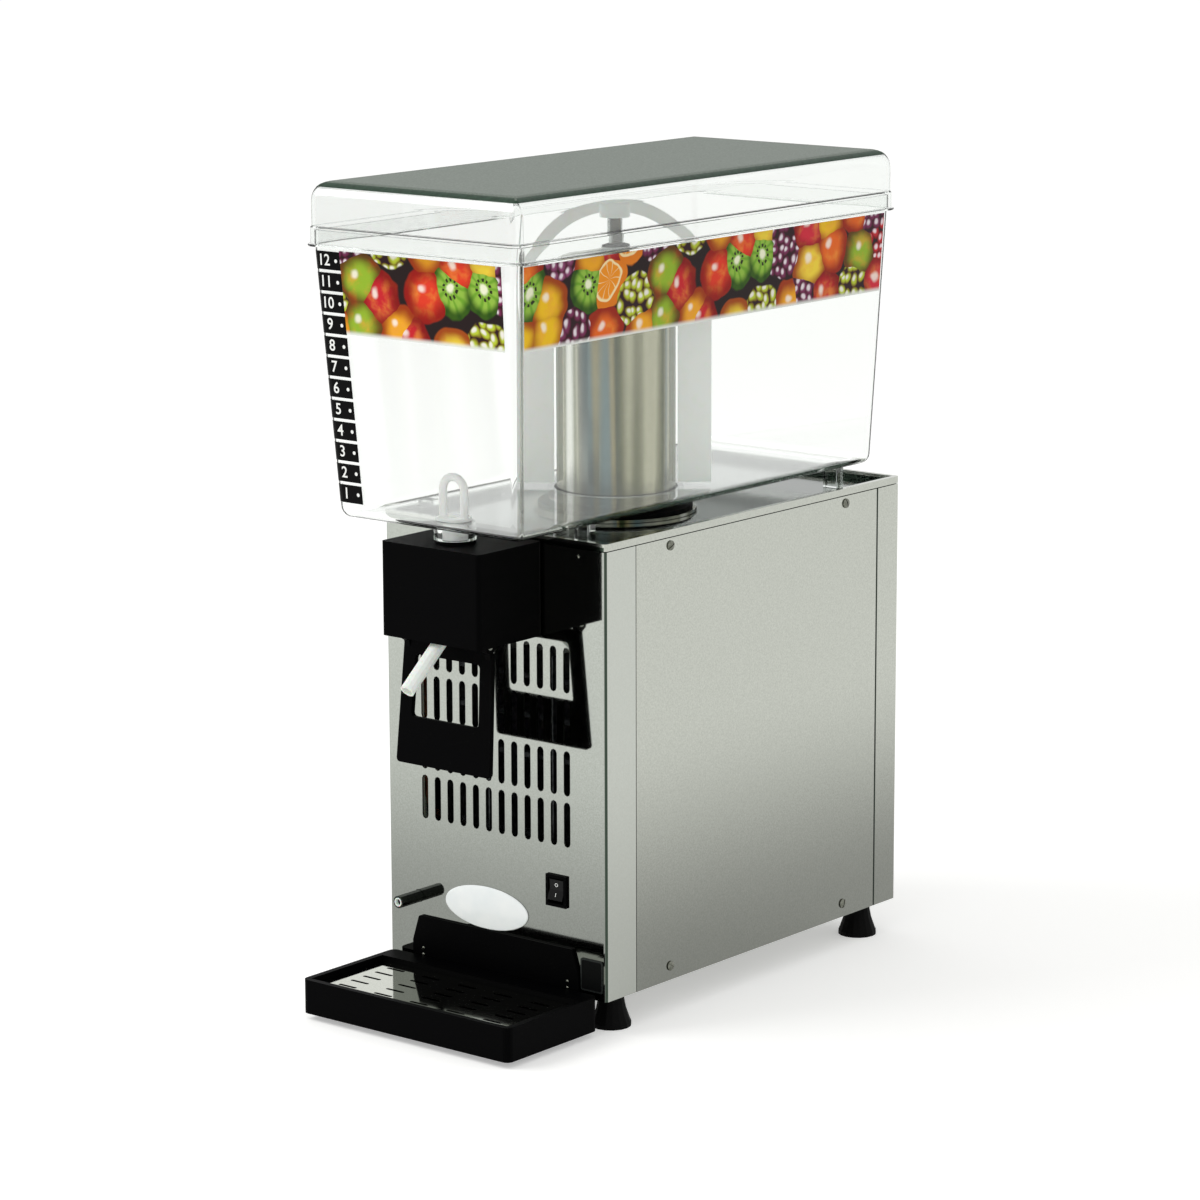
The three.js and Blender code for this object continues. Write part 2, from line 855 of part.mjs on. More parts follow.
function bowl() {
  const lip = levelRing(bowlLow + bowlDepth, bowlRimHalf + bowlLip, bowlRimFront - bowlLip,
    bowlRimRear + bowlLip, bowlCorner + bowlLip);
  const lipOver = lip.map((point) => at(point.x, point.y, lipTop));
  const holeRadius = drumRadius + drumGap;
  const collar = disc(holeRadius + collarWall, gasketTop + clear, bowlLow + bowlWall / 2);
  let body = bowlLoft(bowlLow, bowlTop, 0).add(loft([lip, lipOver]));
  for (const x of [-bowlLegAcross, bowlLegAcross]) {
    for (const y of [bowlLegFrontY, bowlLegRearY]) {
      const leg = rectangle(x - bowlLegWidth / 2, x + bowlLegWidth / 2,
        y - bowlLegThickness / 2, y + bowlLegThickness / 2);
      body = body.add(prismZ(leg, deckTop + clear, bowlLow + bowlWall / 2));
    }
  }
  const boss = disc(bossRadius, bossLow, bowlLow + bowlWall / 2);
  const bore = disc(bossBore, bossLow - overrun, bowlLow + bowlWall + overrun);
  return body
    .add(turned(collar, [0, drumY, 0]))
    .add(turned(boss, [0, -outletReach, 0], "z", hiddenSteps))
    .subtract(bowlLoft(bowlLow + bowlWall, bowlTop + overrun, bowlWall))
    .subtract(turned(disc(holeRadius, gasketTop - overrun, bowlLow + bowlWall + overrun), [0, drumY, 0]))
    .subtract(turned(bore, [0, -outletReach, 0], "z", hiddenSteps));
}

// Lid: a box with rounded top edges and a skirt that stands on the lip of the bowl
function lidRing(z, inset) {
  return levelRing(z, lidHalf - inset, lidFront + inset, lidRear - inset, lidCorner - inset);
}

function lidLoft(low, wall) {
  const fillet = lidFillet - wall;
  const skirtTop = lidLow + lidSkirt;
  const rings = [
    lidRing(low, wall),
    lidRing(skirtTop, wall),
    lidRing(skirtTop + lidStep, lidStep + wall),
  ];
  for (let k = 0; k <= filletSteps; k += 1) {
    const angle = k / filletSteps * Math.PI / 2;
    const drop = fillet * (1 - Math.sin(angle));
    const inset = fillet * (1 - Math.cos(angle));
    rings.push(lidRing(lidTop - wall - drop, lidStep + wall + inset));
  }
  return loft(rings);
}

function lid() {
  return lidLoft(lidLow, 0).subtract(lidLoft(lidLow - overrun, lidWall));
}

// Agitator: an arch over the drum with a paddle on each side, driven by its hub
function agitatorHoop() {
  const centre = shaftTop + agitatorCrownOverPin - agitatorSpan;
  const inner = agitatorSpan - agitatorBand;
  const edge = drumRadius + paddleGap;
  const low = bowlLow + bowlWall + paddleFloorGap;
  const paddleTop = bowlLow + bowlDepth - paddleUnderRim;
  const slopeTop = paddleTop + inner - edge;
  const shape = new THREE.Shape();
  shape.absarc(0, centre, agitatorSpan, 0, Math.PI);
  shape.lineTo(-agitatorSpan, low);
  shape.lineTo(-edge, low);
  shape.lineTo(-edge, paddleTop);
  shape.lineTo(-inner, slopeTop);
  shape.absarc(0, centre, inner, Math.PI, 0, true);
  shape.lineTo(inner, slopeTop);
  shape.lineTo(edge, paddleTop);
  shape.lineTo(edge, low);
  shape.lineTo(agitatorSpan, low);
  const hubTop = shaftTop + hubCap;
  const hubLow = hubTop - hubHeight;
  const bore = disc(shaftRadius + clear, hubLow - overrun, shaftTop + clear);
  return prismY(shape, -agitatorThickness / 2, agitatorThickness / 2, hoopSteps)
    .rotate([0, 0, agitatorTurn])
    .add(turned(disc(hubRadius, hubLow, hubTop), [0, 0, 0], "z", roundSteps))
    .subtract(turned(bore, [0, 0, 0], "z", smallSteps))
    .translate([0, drumY, 0]);
}

// Places of the pinch tap, all in the plane x = 0
const tapHeading = at(0, -Math.cos(spoutAngle), -Math.sin(spoutAngle));
const tapNormal = at(0, Math.sin(spoutAngle), -Math.cos(spoutAngle));
const knee = at(0, -outletReach, housingLow + tubeKneeOverHousing);
const pinch = knee.clone().addScaledVector(tapHeading, pinchRun);
const squeezed = tubeWall + pinchBore;
const barPlace = pinch.clone().addScaledVector(tapNormal, squeezed + clear + pinchBarRadius);
const pinPlace = at(0, -leverPinY, housingLow + leverPinOverHousing);
const housingInner = housingHalf - housingWall;
const pinHalf = housingInner + leverPinSeat;

// Tap housing: a shell open below and behind, with an anvil rib and two blind bosses
function anvilRib() {
  const tip = pinch.clone().addScaledVector(tapNormal, -squeezed - clear);
  const root = tip.clone().addScaledVector(tapNormal, -anvilReach);
  const corner = (place, along) => {
    const point = place.clone().addScaledVector(tapHeading, along / 2);
    return [point.y, point.z];
  };
  const outline = [
    corner(tip, -anvilTip), corner(root, -anvilRoot),
    corner(root, anvilRoot), corner(tip, anvilTip),
  ];
  return prismX(polygon(outline), -anvilWidth / 2, anvilWidth / 2);
}

function tapHousing() {
  const back = -clear;
  const front = back - housingDepth;
  const outer = prismZ(
    roundedRectangle(-housingHalf, housingHalf, front, back, housingCorner),
    housingLow,
    housingTop,
  );
  const hollow = prismZ(
    rectangle(-housingInner, housingInner, front + housingWall, back + overrun),
    housingLow - overrun,
    housingTop - housingWall,
  );
  const bossLength = pinBossHeight + housingWall / 2;
  let body = outer.subtract(hollow).add(anvilRib().intersect(outer));
  for (const side of [-1, 1]) {
    const middle = side * (housingInner - pinBossHeight + bossLength / 2);
    const boss = disc(pinBossRadius, -bossLength / 2, bossLength / 2);
    body = body.add(turned(boss, [middle, pinPlace.y, pinPlace.z], "x", smallSteps));
  }
  const pinHole = disc(leverPinRadius + clear, -pinHalf - clear, pinHalf + clear);
  const tubeHole = disc(tubeRadius + 2 * clear, housingTop - housingWall - overrun, housingTop + overrun);
  return body
    .subtract(turned(pinHole, pinPlace.toArray(), "x", smallSteps))
    .subtract(turned(tubeHole, [0, -outletReach, 0], "z", hiddenSteps));
}

function outletSeal() {
  const low = housingTop + clear;
  const profile = ring(tubeRadius + clear, bossRadius - clear, low, low + outletSealHeight);
  return turned(profile, [0, -outletReach, 0], "z", hiddenSteps);
}

// Outlet fitting: a socket for the tube with a flange on the floor and a loop to pull it by
function outletFitting() {
  const low = bossLow + clear;
  const socket = tubeRadius + clear;
  const socketTop = bowlLow + clear;
  const bore = tubeRadius - tubeWall;
  const barrel = bossBore - clear;
  const flangeLow = bowlLow + bowlWall + clear;
  const top = flangeLow + fittingFlange;
  const profile = [
    [socket, low], [barrel, low], [barrel, flangeLow], [fittingFlangeRadius, flangeLow],
    [fittingFlangeRadius, top], [bore, top], [bore, socketTop], [socket, socketTop], [socket, low],
  ];
  const loopTop = top + loopHeight - loopRod;
  const legLow = top - fittingFlange / 2;
  const corners = [
    at(-loopHalf, -outletReach, legLow),
    at(-loopHalf, -outletReach, loopTop),
    at(loopHalf, -outletReach, loopTop),
    at(loopHalf, -outletReach, legLow),
  ];
  return turned(profile, [0, -outletReach, 0], "z", hiddenSteps)
    .add(pipe(corners, loopBend, loopRod, alongY));
}

// Silicone tube: round, and nearly flat where the bar squeezes it against the anvil
function tubeLoft(inset, beyond) {
  const start = at(0, -outletReach, bowlLow + beyond);
  const past = pinch.clone().addScaledVector(tapHeading, pinchLength);
  const end = knee.clone().addScaledVector(tapHeading, spoutRun + beyond);
  const path = route([start, knee, past], tubeBend);
  const stations = [...path.slice(0, -2), ...spaced(path.slice(-2), tubeStation), end];
  const sizeAt = (point) => {
    const near = Math.max(0, 1 - point.distanceTo(pinch) / pinchLength);
    const squeeze = near * near * (3 - 2 * near);
    const flatter = (tubeRadius - squeezed) * squeeze;
    return [tubeRadius + flatter * spreadShare - inset, tubeRadius - flatter - inset];
  };
  return loft(sweepRings(stations, alongX, sizeAt, tubeSides));
}

function spoutTube() {
  return tubeLoft(0, 0).subtract(tubeLoft(tubeWall, overrun));
}

// Lever: a window frame with an apron to push, hung on two arms that carry the pinch bar
function tapLever() {
  const head = -leverHeadDrop;
  const low = head - leverHeight;
  const halfAt = (z) => leverTopHalf + (leverFootHalf - leverTopHalf) * (head - z) / leverHeight;
  const frame = (top, bottom, inset) => softPolygon([
    [inset - halfAt(bottom), bottom],
    [halfAt(bottom) - inset, bottom],
    [halfAt(top) - inset, top],
    [inset - halfAt(top), top],
  ], leverRound);
  const back = leverThickness - leverFace;
  const window = frame(head - leverHead, low + leverApron, leverBar);
  const plate = prismY(frame(head, low, 0), -leverFace, back)
    .subtract(prismY(window, -leverFace - overrun, back + overrun))
    .rotate([-leverTilt, 0, 0])
    .translate(pinPlace.toArray());
  const tilt = leverTilt * Math.PI / 180;
  const hanger = at(0, leverThickness / 2 - leverFace, head - leverHead / 2)
    .applyAxisAngle(alongX, -tilt)
    .add(pinPlace);
  const arm = link(pinPlace.y, pinPlace.z, barPlace.y, barPlace.z, armRadius);
  const leg = link(barPlace.y, barPlace.z, hanger.y, hanger.z, leverThickness / 2);
  let body = plate;
  for (const side of [-1, 1]) {
    const left = side * armHalf - armThickness / 2;
    body = body.add(prismX(arm, left, left + armThickness));
    body = body.add(prismX(leg, left, left + armThickness));
  }
  const reach = armHalf + armThickness;
  const pinHole = disc(leverPinRadius + clear, -reach, reach);
  const barHole = disc(pinchBarRadius + clear, -reach, reach);
  return body
    .subtract(turned(pinHole, pinPlace.toArray(), "x", smallSteps))
    .subtract(turned(barHole, barPlace.toArray(), "x", smallSteps));
}

function leverPin() {
  return turned(disc(leverPinRadius, -pinHalf, pinHalf), pinPlace.toArray(), "x", smallSteps);
}

function pinchBar() {
  const reach = armHalf + armThickness / 2;
  return turned(disc(pinchBarRadius, -reach, reach), barPlace.toArray(), "x", smallSteps);
}

// Torsion spring on the pin: one leg behind the bar, the other against the front panel
function leverSpring() {
  const radius = leverPinRadius + springGap + springWire;
  const toBar = barPlace.clone().sub(pinPlace);
  const length = toBar.length();
  toBar.normalize();
  const from = Math.atan2(toBar.y, -toBar.z);
  const to = -Math.PI / 2 + 2 * Math.PI * springTurns;
  const count = springTurns * springSteps;
  const points = [];
  for (let i = 0; i <= count; i += 1) {
    const angle = from + (to - from) * i / count;
    const x = springX + springTurns * springPitch * i / count;
    points.push(at(x, pinPlace.y + radius * Math.cos(angle), pinPlace.z + radius * Math.sin(angle)));
  }
  const first = points[0].clone().addScaledVector(toBar, length);
  const last = points[count].clone();
  last.y = -springFootGap;
  const path = [first, ...points, last];
  const gap = leastGap(path, springWire, Math.PI * radius);
  console.log(`Lever spring: least gap to itself ${gap.toFixed(2)} mm`);
  return loft(sweepRings(path, alongX, () => [springWire, springWire], springSides));
}

// Drip tray: a basin with a ledge for the grid and a deep rear rim with two pockets
const tongueTop = trayTop - tongueDrop;
const tongueFront = -clear - holderThickness - tongueForward;

function dripTray() {
  const half = trayWidth / 2;
  const seatHalf = half - gridSide;
  const seatFront = gridFront - trayFront;
  const seatBack = -trayBack - gridBack;
  const ledge = gridTop - gridThickness - clear;
  const basin = rectangle(
    gridLedge - seatHalf, seatHalf - gridLedge,
    seatFront + gridLedge, seatBack - gridLedge,
  );
  const under = rectangle(
    trayRim - half, half - trayRim,
    seatBack + trayWall - gridLedge, -trayBack - trayWall,
  );
  let body = prismZ(roundedRectangle(-half, half, -trayFront, -trayBack, trayCorner), trayLow, trayTop)
    .subtract(prismZ(rectangle(-seatHalf, seatHalf, seatFront, seatBack), ledge, trayTop + overrun))
    .subtract(prismZ(basin, trayLow + trayWall, trayTop + overrun))
    .subtract(prismZ(under, trayLow - overrun, tongueTop - tongueThickness - clear - trayWall));
  for (const x of [-tongueAcross, tongueAcross]) {
    const reach = tongueHalf + clear;
    const pocket = rectangle(x - reach, x + reach, tongueFront - clear, overrun - trayBack);
    body = body.subtract(prismZ(pocket, tongueTop - tongueThickness - clear, tongueTop + clear));
  }
  return body;
}

function dripGrid() {
  const half = trayWidth / 2 - gridSide - clear;
  const front = gridFront - trayFront + clear;
  const back = -trayBack - gridBack - clear;
  const middle = (front + back) / 2;
  const slots = centred(gridColumns, gridAcross).flatMap((x) => (
    centred(gridRows, gridAlong).map((y) => levelSlot(x, middle + y, gridSlotLength, gridSlotWidth))
  ));
  return prismZ(rectangle(-half, half, front, back), gridTop - gridThickness, gridTop)
    .subtract(prismZ(slots, gridTop - gridThickness - overrun, gridTop + overrun));
}

function trayHolder() {
  const low = cabinetLow - holderUnderPanel;
  const top = low + holderHeight;
  const outline = softPolygon([
    [-holderFootHalf, low], [holderFootHalf, low], [holderFootHalf, low + holderShoulder],
    [holderTopHalf, top], [-holderTopHalf, top], [-holderFootHalf, low + holderShoulder],
  ], holderThickness);
  let body = prismY(outline, -clear - holderThickness, -clear);
  for (const x of [-tongueAcross, tongueAcross]) {
    const tongue = rectangle(x - tongueHalf, x + tongueHalf, tongueFront, -clear - holderThickness / 2);
    body = body.add(prismZ(tongue, tongueTop - tongueThickness, tongueTop));
  }
  return body;
}

// Condensate drain: a steel spout through the front panel, and the hose down from the deck
function drainSpout() {
  const bore = drainRadius - drainWall;
  const collar = sheet + clear;
  const profile = [
    [bore, -drainForward], [drainRadius, -drainForward], [drainRadius, collar],
    [drainCollar, collar], [drainCollar, collar + drainCollarThickness],
    [drainRadius, collar + drainCollarThickness], [drainRadius, drainInside],
    [bore, drainInside], [bore, -drainForward],
  ];
  return turned(profile, [drainX, 0, cabinetLow + drainUp], "y", smallSteps);
}

function drainHose() {
  const spoutZ = cabinetLow + drainUp;
  const top = deckUnder - clear;
  const corners = (beyond) => [
    at(drainX, deckDrainY, top + beyond),
    at(drainX, deckDrainY, spoutZ),
    at(drainX, drainInside - drainSocket - beyond, spoutZ),
  ];
  const flange = disc(hoseFlange, top - hoseFlangeThickness, top);
  return pipe(corners(0), hoseBend, hoseRadius, alongX, hoseSides)
    .add(turned(flange, [drainX, deckDrainY, 0], "z", smallSteps))
    .subtract(pipe(corners(overrun), hoseBend, drainRadius + 2 * clear, alongX, hoseSides));
}

// Rocker switch: a frame with its body behind the panel, and a rocker on two stub axles
function switchBezel() {
  const z = cabinetLow + switchUp;
  const frame = (inset) => rectangle(
    switchX - switchWidth / 2 + inset, switchX + switchWidth / 2 - inset,
    z - switchHeight / 2 + inset, z + switchHeight / 2 - inset,
  );
  const front = -clear - switchProud;
  const back = switchBodyDepth;
  const axle = disc(rockerPinRadius + clear, -switchWidth / 2, switchWidth / 2);
  return prismY(frame(0), front, -clear)
    .add(prismY(frame(switchFrame / 2), front, back))
    .subtract(prismY(frame(switchFrame), front - overrun, back - switchFrame))
    .subtract(turned(axle, [switchX, rockerPivot, z], "x", smallSteps));
}

function switchRocker() {
  const z = cabinetLow + switchUp;
  const half = switchWidth / 2 - switchFrame - clear;
  const shape = new THREE.Shape();
  shape.absarc(0, 0, rockerRadius, rockerBack, rockerSpan);
  shape.lineTo(-rockerDip, 0);
  shape.absarc(0, 0, rockerRadius, -rockerSpan, -rockerBack);
  const axle = half + rockerPinReach;
  return prismX(shape, -half, half)
    .add(turned(disc(rockerPinRadius, -axle, axle), [0, 0, 0], "x", smallSteps))
    .rotate([-rockerRest, 0, 0])
    .translate([switchX, rockerPivot, z]);
}

// Inlet gland for the lead, clamped through the rear panel
function cordGland() {
  const inside = -sheet - clear;
  const profile = [
    [glandBore, inside - glandInside], [glandBarrel, inside - glandInside],
    [glandBarrel, inside - glandInside / 2], [glandRadius, inside - glandInside / 2],
    [glandRadius, inside], [glandBarrel, inside], [glandBarrel, clear], [glandRadius, clear],
    [glandRadius, glandProud / 2], [glandBarrel, glandProud], [glandBore, glandProud],
    [glandBore, inside - glandInside],
  ];
  return turned(profile, [glandX, cabinetDepth, cabinetLow + glandUp], "y", smallSteps);
}

// Condenser: fins on one coil that runs to and fro
function condenser() {
  const runs = centred(coilRuns, coilPitch).map((up) => fanZ - up);
  const corners = [];
  runs.forEach((z, run) => {
    const side = run % 2 === 0 ? 1 : -1;
    corners.push(at(side * (condenserHalf + coilEnd), coilY, z));
    corners.push(at(-side * (condenserHalf + coilEnd), coilY, z));
  });
  corners[0].x = condenserHalf + coilRadius;
  corners[corners.length - 1].x = -condenserHalf - coilRadius;
  let body = pipe(corners, coilPitch / 2 - coilRadius, coilRadius, alongZ);
  const pitch = (2 * condenserHalf - finThickness) / (finCount - 1);
  for (const x of centred(finCount, pitch)) {
    const fin = rectangle(
      x - finThickness / 2, x + finThickness / 2,
      condenserY, condenserY + condenserDepth,
    );
    body = body.add(prismZ(fin, condenserLow, condenserLow + condenserHeight));
  }
  return body;
}

// Fan shroud: a plate on a foot, with a collar round the blades
function fanShroud() {
  const low = cabinetLow + sheet + clear;
  const top = condenserLow + condenserHeight;
  const back = shroudY + shroudThickness;
  const hole = fanRadius + fanTip;
  const place = [0, 0, fanZ];
  const collar = disc(hole + shroudThickness, shroudY, back + shroudCollar);
  const air = disc(hole, shroudY - overrun, back + shroudCollar + overrun);
  return prismY(rectangle(-shroudHalf, shroudHalf, low, top), shroudY, back)
    .add(prismZ(rectangle(-shroudHalf, shroudHalf, shroudY, back + shroudFoot), low, low + shroudThickness))
    .add(turned(collar, place, "y", hiddenSteps))
    .subtract(turned(air, place, "y", hiddenSteps));
}

function fanMotor() {
  const foot = shroudY + shroudThickness + clear;
  const back = fanMotorY + fanArm / 2;
  const wall = fanArm / 2;
  const outline = [
    [-fanArmHalf, foot], [wall - fanArmHalf, foot], [wall - fanArmHalf, fanMotorY],
    [fanArmHalf - wall, fanMotorY], [fanArmHalf - wall, foot], [fanArmHalf, foot],
    [fanArmHalf, back], [-fanArmHalf, back],
  ];
  const shaft = disc(fanShaftRadius, fanY + fanGap, fanMotorY + overrun);
  return prismZ(polygon(outline), fanZ - fanArm, fanZ + fanArm)
    .add(turned(disc(fanMotorRadius, fanMotorY, fanMotorY + fanMotorDepth), [0, 0, fanZ], "y", hiddenSteps))
    .add(turned(shaft, [0, 0, fanZ], "y", smallSteps));
}

// Fan: blades that flatten from the hub to the tip
function fanBlade() {
  const stations = [fanHub - fanBladeThickness, (fanHub + fanRadius) / 2, fanRadius];
  const rings = stations.map((reach, i) => {
    const pitch = fanPitch * fanPitchShares[i];
    const chord = at(0, Math.sin(pitch), -Math.cos(pitch)).multiplyScalar(fanBladeWidth / 2);
    const deep = at(0, Math.cos(pitch), Math.sin(pitch)).multiplyScalar(fanBladeThickness / 2);
    const corners = [[-1, -1], [1, -1], [1, 1], [-1, 1]];
    return corners.map(([u, v]) => at(reach, 0, 0).addScaledVector(chord, u).addScaledVector(deep, v));
  });
  return loft(rings);
}

function fan() {
  const middle = fanY + fanDepth / 2;
  let body = turned(disc(fanHub, -fanDepth / 2, fanDepth / 2), [0, 0, 0], "y", hiddenSteps);
  for (let i = 0; i < fanBlades; i += 1) {
    body = body.add(fanBlade().rotate([0, 360 * i / fanBlades, 0]));
  }
  const bore = disc(fanShaftRadius + clear, fanGap - fanDepth / 2 - clear, fanDepth);
  return body
    .subtract(turned(bore, [0, 0, 0], "y", smallSteps))
    .translate([0, middle, fanZ]);
}

// Compressor: a domed shell on a plate, on four rubber grommets, with two pipe stubs
const compressorLow = grommetTop + clear;
const compressorTop = compressorLow + compressorHeight;
const stubY = compressorY - stubAcross;
const stubTop = compressorTop + stubRise;
const grommetPlaces = [[-1, -1], [1, -1], [-1, 1], [1, 1]].map(([u, v]) => (
  [u * grommetAcross, compressorY + v * grommetAcross]
));

function compressor() {
  const profile = compressorShares.map(([outShare, upShare]) => (
    [compressorRadius * outShare, compressorLow + compressorHeight * upShare]
  ));
  const plate = roundedRectangle(
    -compressorPlateHalf, compressorPlateHalf,
    compressorY - compressorPlateHalf, compressorY + compressorPlateHalf, grommetRadius,
  );
  let body = turned(profile, [0, compressorY, 0], "z", hiddenSteps)
    .add(prismZ(plate, compressorLow, compressorLow + compressorPlate));
  for (const x of [-stubAcross, stubAcross]) {
    const place = [x, stubY, 0];
    const socket = disc(pipeRadius + clear, stubTop - stubBore, stubTop + overrun);
    body = body
      .add(turned(disc(stubRadius, compressorTop - stubBore, stubTop), place, "z", smallSteps))
      .subtract(turned(socket, place, "z", smallSteps));
  }
  return body;
}

function grommet([x, y]) {
  const low = cabinetLow + sheet + clear;
  const waist = grommetRadius - grommetHeight / 4;
  const profile = [
    [0, low], [grommetRadius, low], [waist, low + grommetHeight / 2],
    [grommetRadius, grommetTop], [0, grommetTop],
  ];
  return turned(profile, [x, y, 0], "z", smallSteps);
}

// Refrigerant pipes
const pipeStart = stubTop - stubBore + clear;

function suctionPipe() {
  return pipe([
    at(-stubAcross, stubY, pipeStart),
    at(-stubAcross, stubY, crossPipeZ),
    at(0, drumY + neckPipeReach, crossPipeZ),
    at(0, drumY + neckPipeReach, neckLow + neckPipeRise),
  ], pipeBend, pipeRadius, alongX);
}

function dischargePipe() {
  const z = fanZ + coilPitch * (coilRuns - 1) / 2;
  return pipe([
    at(stubAcross, stubY, pipeStart),
    at(stubAcross, stubY, z),
    at(pipeX, stubY - stubAcross, z),
    at(pipeX, coilY, z),
    at(condenserHalf + coilRadius + clear, coilY, z),
  ], pipeBend, pipeRadius, alongX);
}

function liquidPipe() {
  const z = fanZ - coilPitch * (coilRuns - 1) / 2;
  const enter = drumY - neckPipeReach;
  return pipe([
    at(-condenserHalf - coilRadius - clear, coilY, z),
    at(-pipeX - liquidRadius, coilY, z),
    at(-pipeX - liquidRadius, coilY, crossPipeZ),
    at(0, coilY, crossPipeZ),
    at(0, enter, crossPipeZ),
    at(0, enter, neckLow + neckPipeRise),
  ], pipeBend, liquidRadius, alongY);
}

// Agitator drive under the deck
function motorBracket() {
  const top = deckUnder - clear;
  const low = bracketLow;
  const wall = bracketThickness;
  const outline = [
    [-bracketHalf, low], [bracketHalf, low], [bracketHalf, top - wall],
    [bracketHalf + bracketFoot, top - wall], [bracketHalf + bracketFoot, top],
    [bracketHalf - wall, top], [bracketHalf - wall, low + wall],
    [wall - bracketHalf, low + wall], [wall - bracketHalf, top],
    [-bracketHalf - bracketFoot, top], [-bracketHalf - bracketFoot, top - wall],
    [-bracketHalf, top - wall],
  ];
  const hole = disc(shaftRadius + clear, low - overrun, low + wall + overrun);
  return prismY(polygon(outline), drumY - bracketAlong, drumY + bracketAlong)
    .subtract(turned(hole, [0, drumY, 0], "z", smallSteps));
}

function agitatorMotor() {
  const half = gearboxHalf;
  const low = gearboxTop - gearboxHeight;
  const socket = disc(shaftRadius + clear, gearboxTop - shaftSocketDepth - clear, gearboxTop + overrun);
  return prismZ(roundedRectangle(-half, half, drumY - half, drumY + half, gearboxCorner), low, gearboxTop)
    .add(turned(disc(motorRadius, low - motorHeight, low), [0, drumY, 0], "z", hiddenSteps))
    .subtract(turned(socket, [0, drumY, 0], "z", smallSteps));
}

function terminalBox() {
  const left = compressorRadius * compressorShellShare + clear;
  const low = compressorLow + compressorPlate + terminalGap;
  const outline = roundedRectangle(
    left, left + terminalDepth,
    compressorY - terminalWidth / 2, compressorY + terminalWidth / 2, bendRadius,
  );
  return prismZ(outline, low, low + terminalHeight);
}

function thermostat() {
  const z = cabinetLow + thermostatUp;
  const back = cabinetDepth - sheet - clear;
  const outline = roundedRectangle(
    thermostatX - thermostatWidth / 2, thermostatX + thermostatWidth / 2,
    back - thermostatDepth, back, bendRadius,
  );
  return prismZ(outline, z - thermostatHeight / 2, z + thermostatHeight / 2);
}

// Looks
const look = (color, roughness, metalness) => ({ color, roughness, metalness });
const polishedSteel = look(0xc8cbbe, 0.16, 1);
const casingSteel = look(0xb9bdb0, 0.3, 1);
const drumSteel = look(0xd2d2c8, 0.12, 1);
const darkSteel = look(0x5a5d5c, 0.35, 1);
const zincSteel = look(0xa9aca8, 0.45, 1);
const blackPlastic = look(0x111113, 0.45, 0);
const clearPlastic = look(0xdfe8e0, 0.08, 0);
const lidPlastic = look(0x9aa39a, 0.4, 0);
const milkyPlastic = look(0xe3e6df, 0.35, 0);
const whitePlastic = look(0xf2f3f0, 0.4, 0);
const blackRubber = look(0x151515, 0.8, 0);
const silicone = look(0xe8e8e2, 0.45, 0);
const copper = look(0xb87350, 0.3, 1);
const blackPaint = look(0x1c1d1f, 0.5, 0.2);
const aluminium = look(0xb4b7b9, 0.4, 1);

const pieces = [
  ["front_panel", frontPanel(), polishedSteel],
  ["rear_panel", rearPanel(), casingSteel],
  ["side_panel_left", sidePanel(-1), casingSteel],
  ["side_panel_right", sidePanel(1), casingSteel],
  ["base_pan", basePan(), zincSteel],
  ["top_deck", topDeck(), casingSteel],
  ...footPlaces.map(([name, x, y]) => [name, foot(x, y), blackRubber]),
  ["evaporator_drum", evaporatorDrum(), drumSteel],
  ["drum_gasket", drumGasket(), blackRubber],
  ["shaft_bush_upper", shaftBush(drumTop + clear, drumTop - bushHeight), whitePlastic],
  ["shaft_bush_lower", shaftBush(neckLow - clear, neckLow + bushHeight), whitePlastic],
  ["shaft_seal", shaftSeal(), blackRubber],
  ["drive_shaft", driveShaft(), zincSteel],
  ["bowl", bowl(), clearPlastic],
  ["lid", lid(), lidPlastic],
  ["agitator_hoop", agitatorHoop(), milkyPlastic],
  ["outlet_fitting", outletFitting(), whitePlastic],
  ["outlet_seal", outletSeal(), blackRubber],
  ["spout_tube", spoutTube(), silicone],
  ["tap_housing", tapHousing(), blackPlastic],
  ["tap_lever", tapLever(), blackPlastic],
  ["lever_pin", leverPin(), zincSteel],
  ["pinch_bar", pinchBar(), zincSteel],
  ["lever_spring", leverSpring(), zincSteel],
  ["drip_tray", dripTray(), blackPlastic],
  ["drip_grid", dripGrid(), polishedSteel],
  ["tray_holder", trayHolder(), blackPlastic],
  ["drain_spout", drainSpout(), darkSteel],
  ["drain_hose", drainHose(), silicone],
  ["switch_bezel", switchBezel(), blackPlastic],
  ["switch_rocker", switchRocker(), blackPlastic],
  ["cord_gland", cordGland(), blackPlastic],
  ["condenser", condenser(), aluminium],
  ["fan_shroud", fanShroud(), zincSteel],
  ["fan_motor", fanMotor(), blackPaint],
  ["fan_blades", fan(), aluminium],
  ["compressor", compressor(), blackPaint],
  ...grommetPlaces.map((place, i) => [`compressor_grommet_${i + 1}`, grommet(place), blackRubber]),
  ["suction_pipe", suctionPipe(), copper],
  ["discharge_pipe", dischargePipe(), copper],
  ["liquid_pipe", liquidPipe(), copper],
  ["motor_bracket", motorBracket(), zincSteel],
  ["agitator_motor", agitatorMotor(), blackPaint],
  ["terminal_box", terminalBox(), blackPlastic],
  ["thermostat", thermostat(), whitePlastic],
];

const dispenser = new THREE.Group();
dispenser.name = "juice_dispenser";
for (const [name, body, finish] of pieces) {
  const mesh = new THREE.Mesh(geometryOf(body), new THREE.MeshStandardMaterial(finish));
  mesh.name = name;
  dispenser.add(mesh);
}

// The origin goes to the middle of the footprint.
const bounds = new THREE.Box3().setFromObject(dispenser);
const middle = bounds.getCenter(new THREE.Vector3());
for (const mesh of dispenser.children) {
  mesh.geometry.translate(-middle.x, -middle.y, -bounds.min.z);
}

export default dispenser;
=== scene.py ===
import math

import bmesh
import bpy
from mathutils import Matrix, Vector


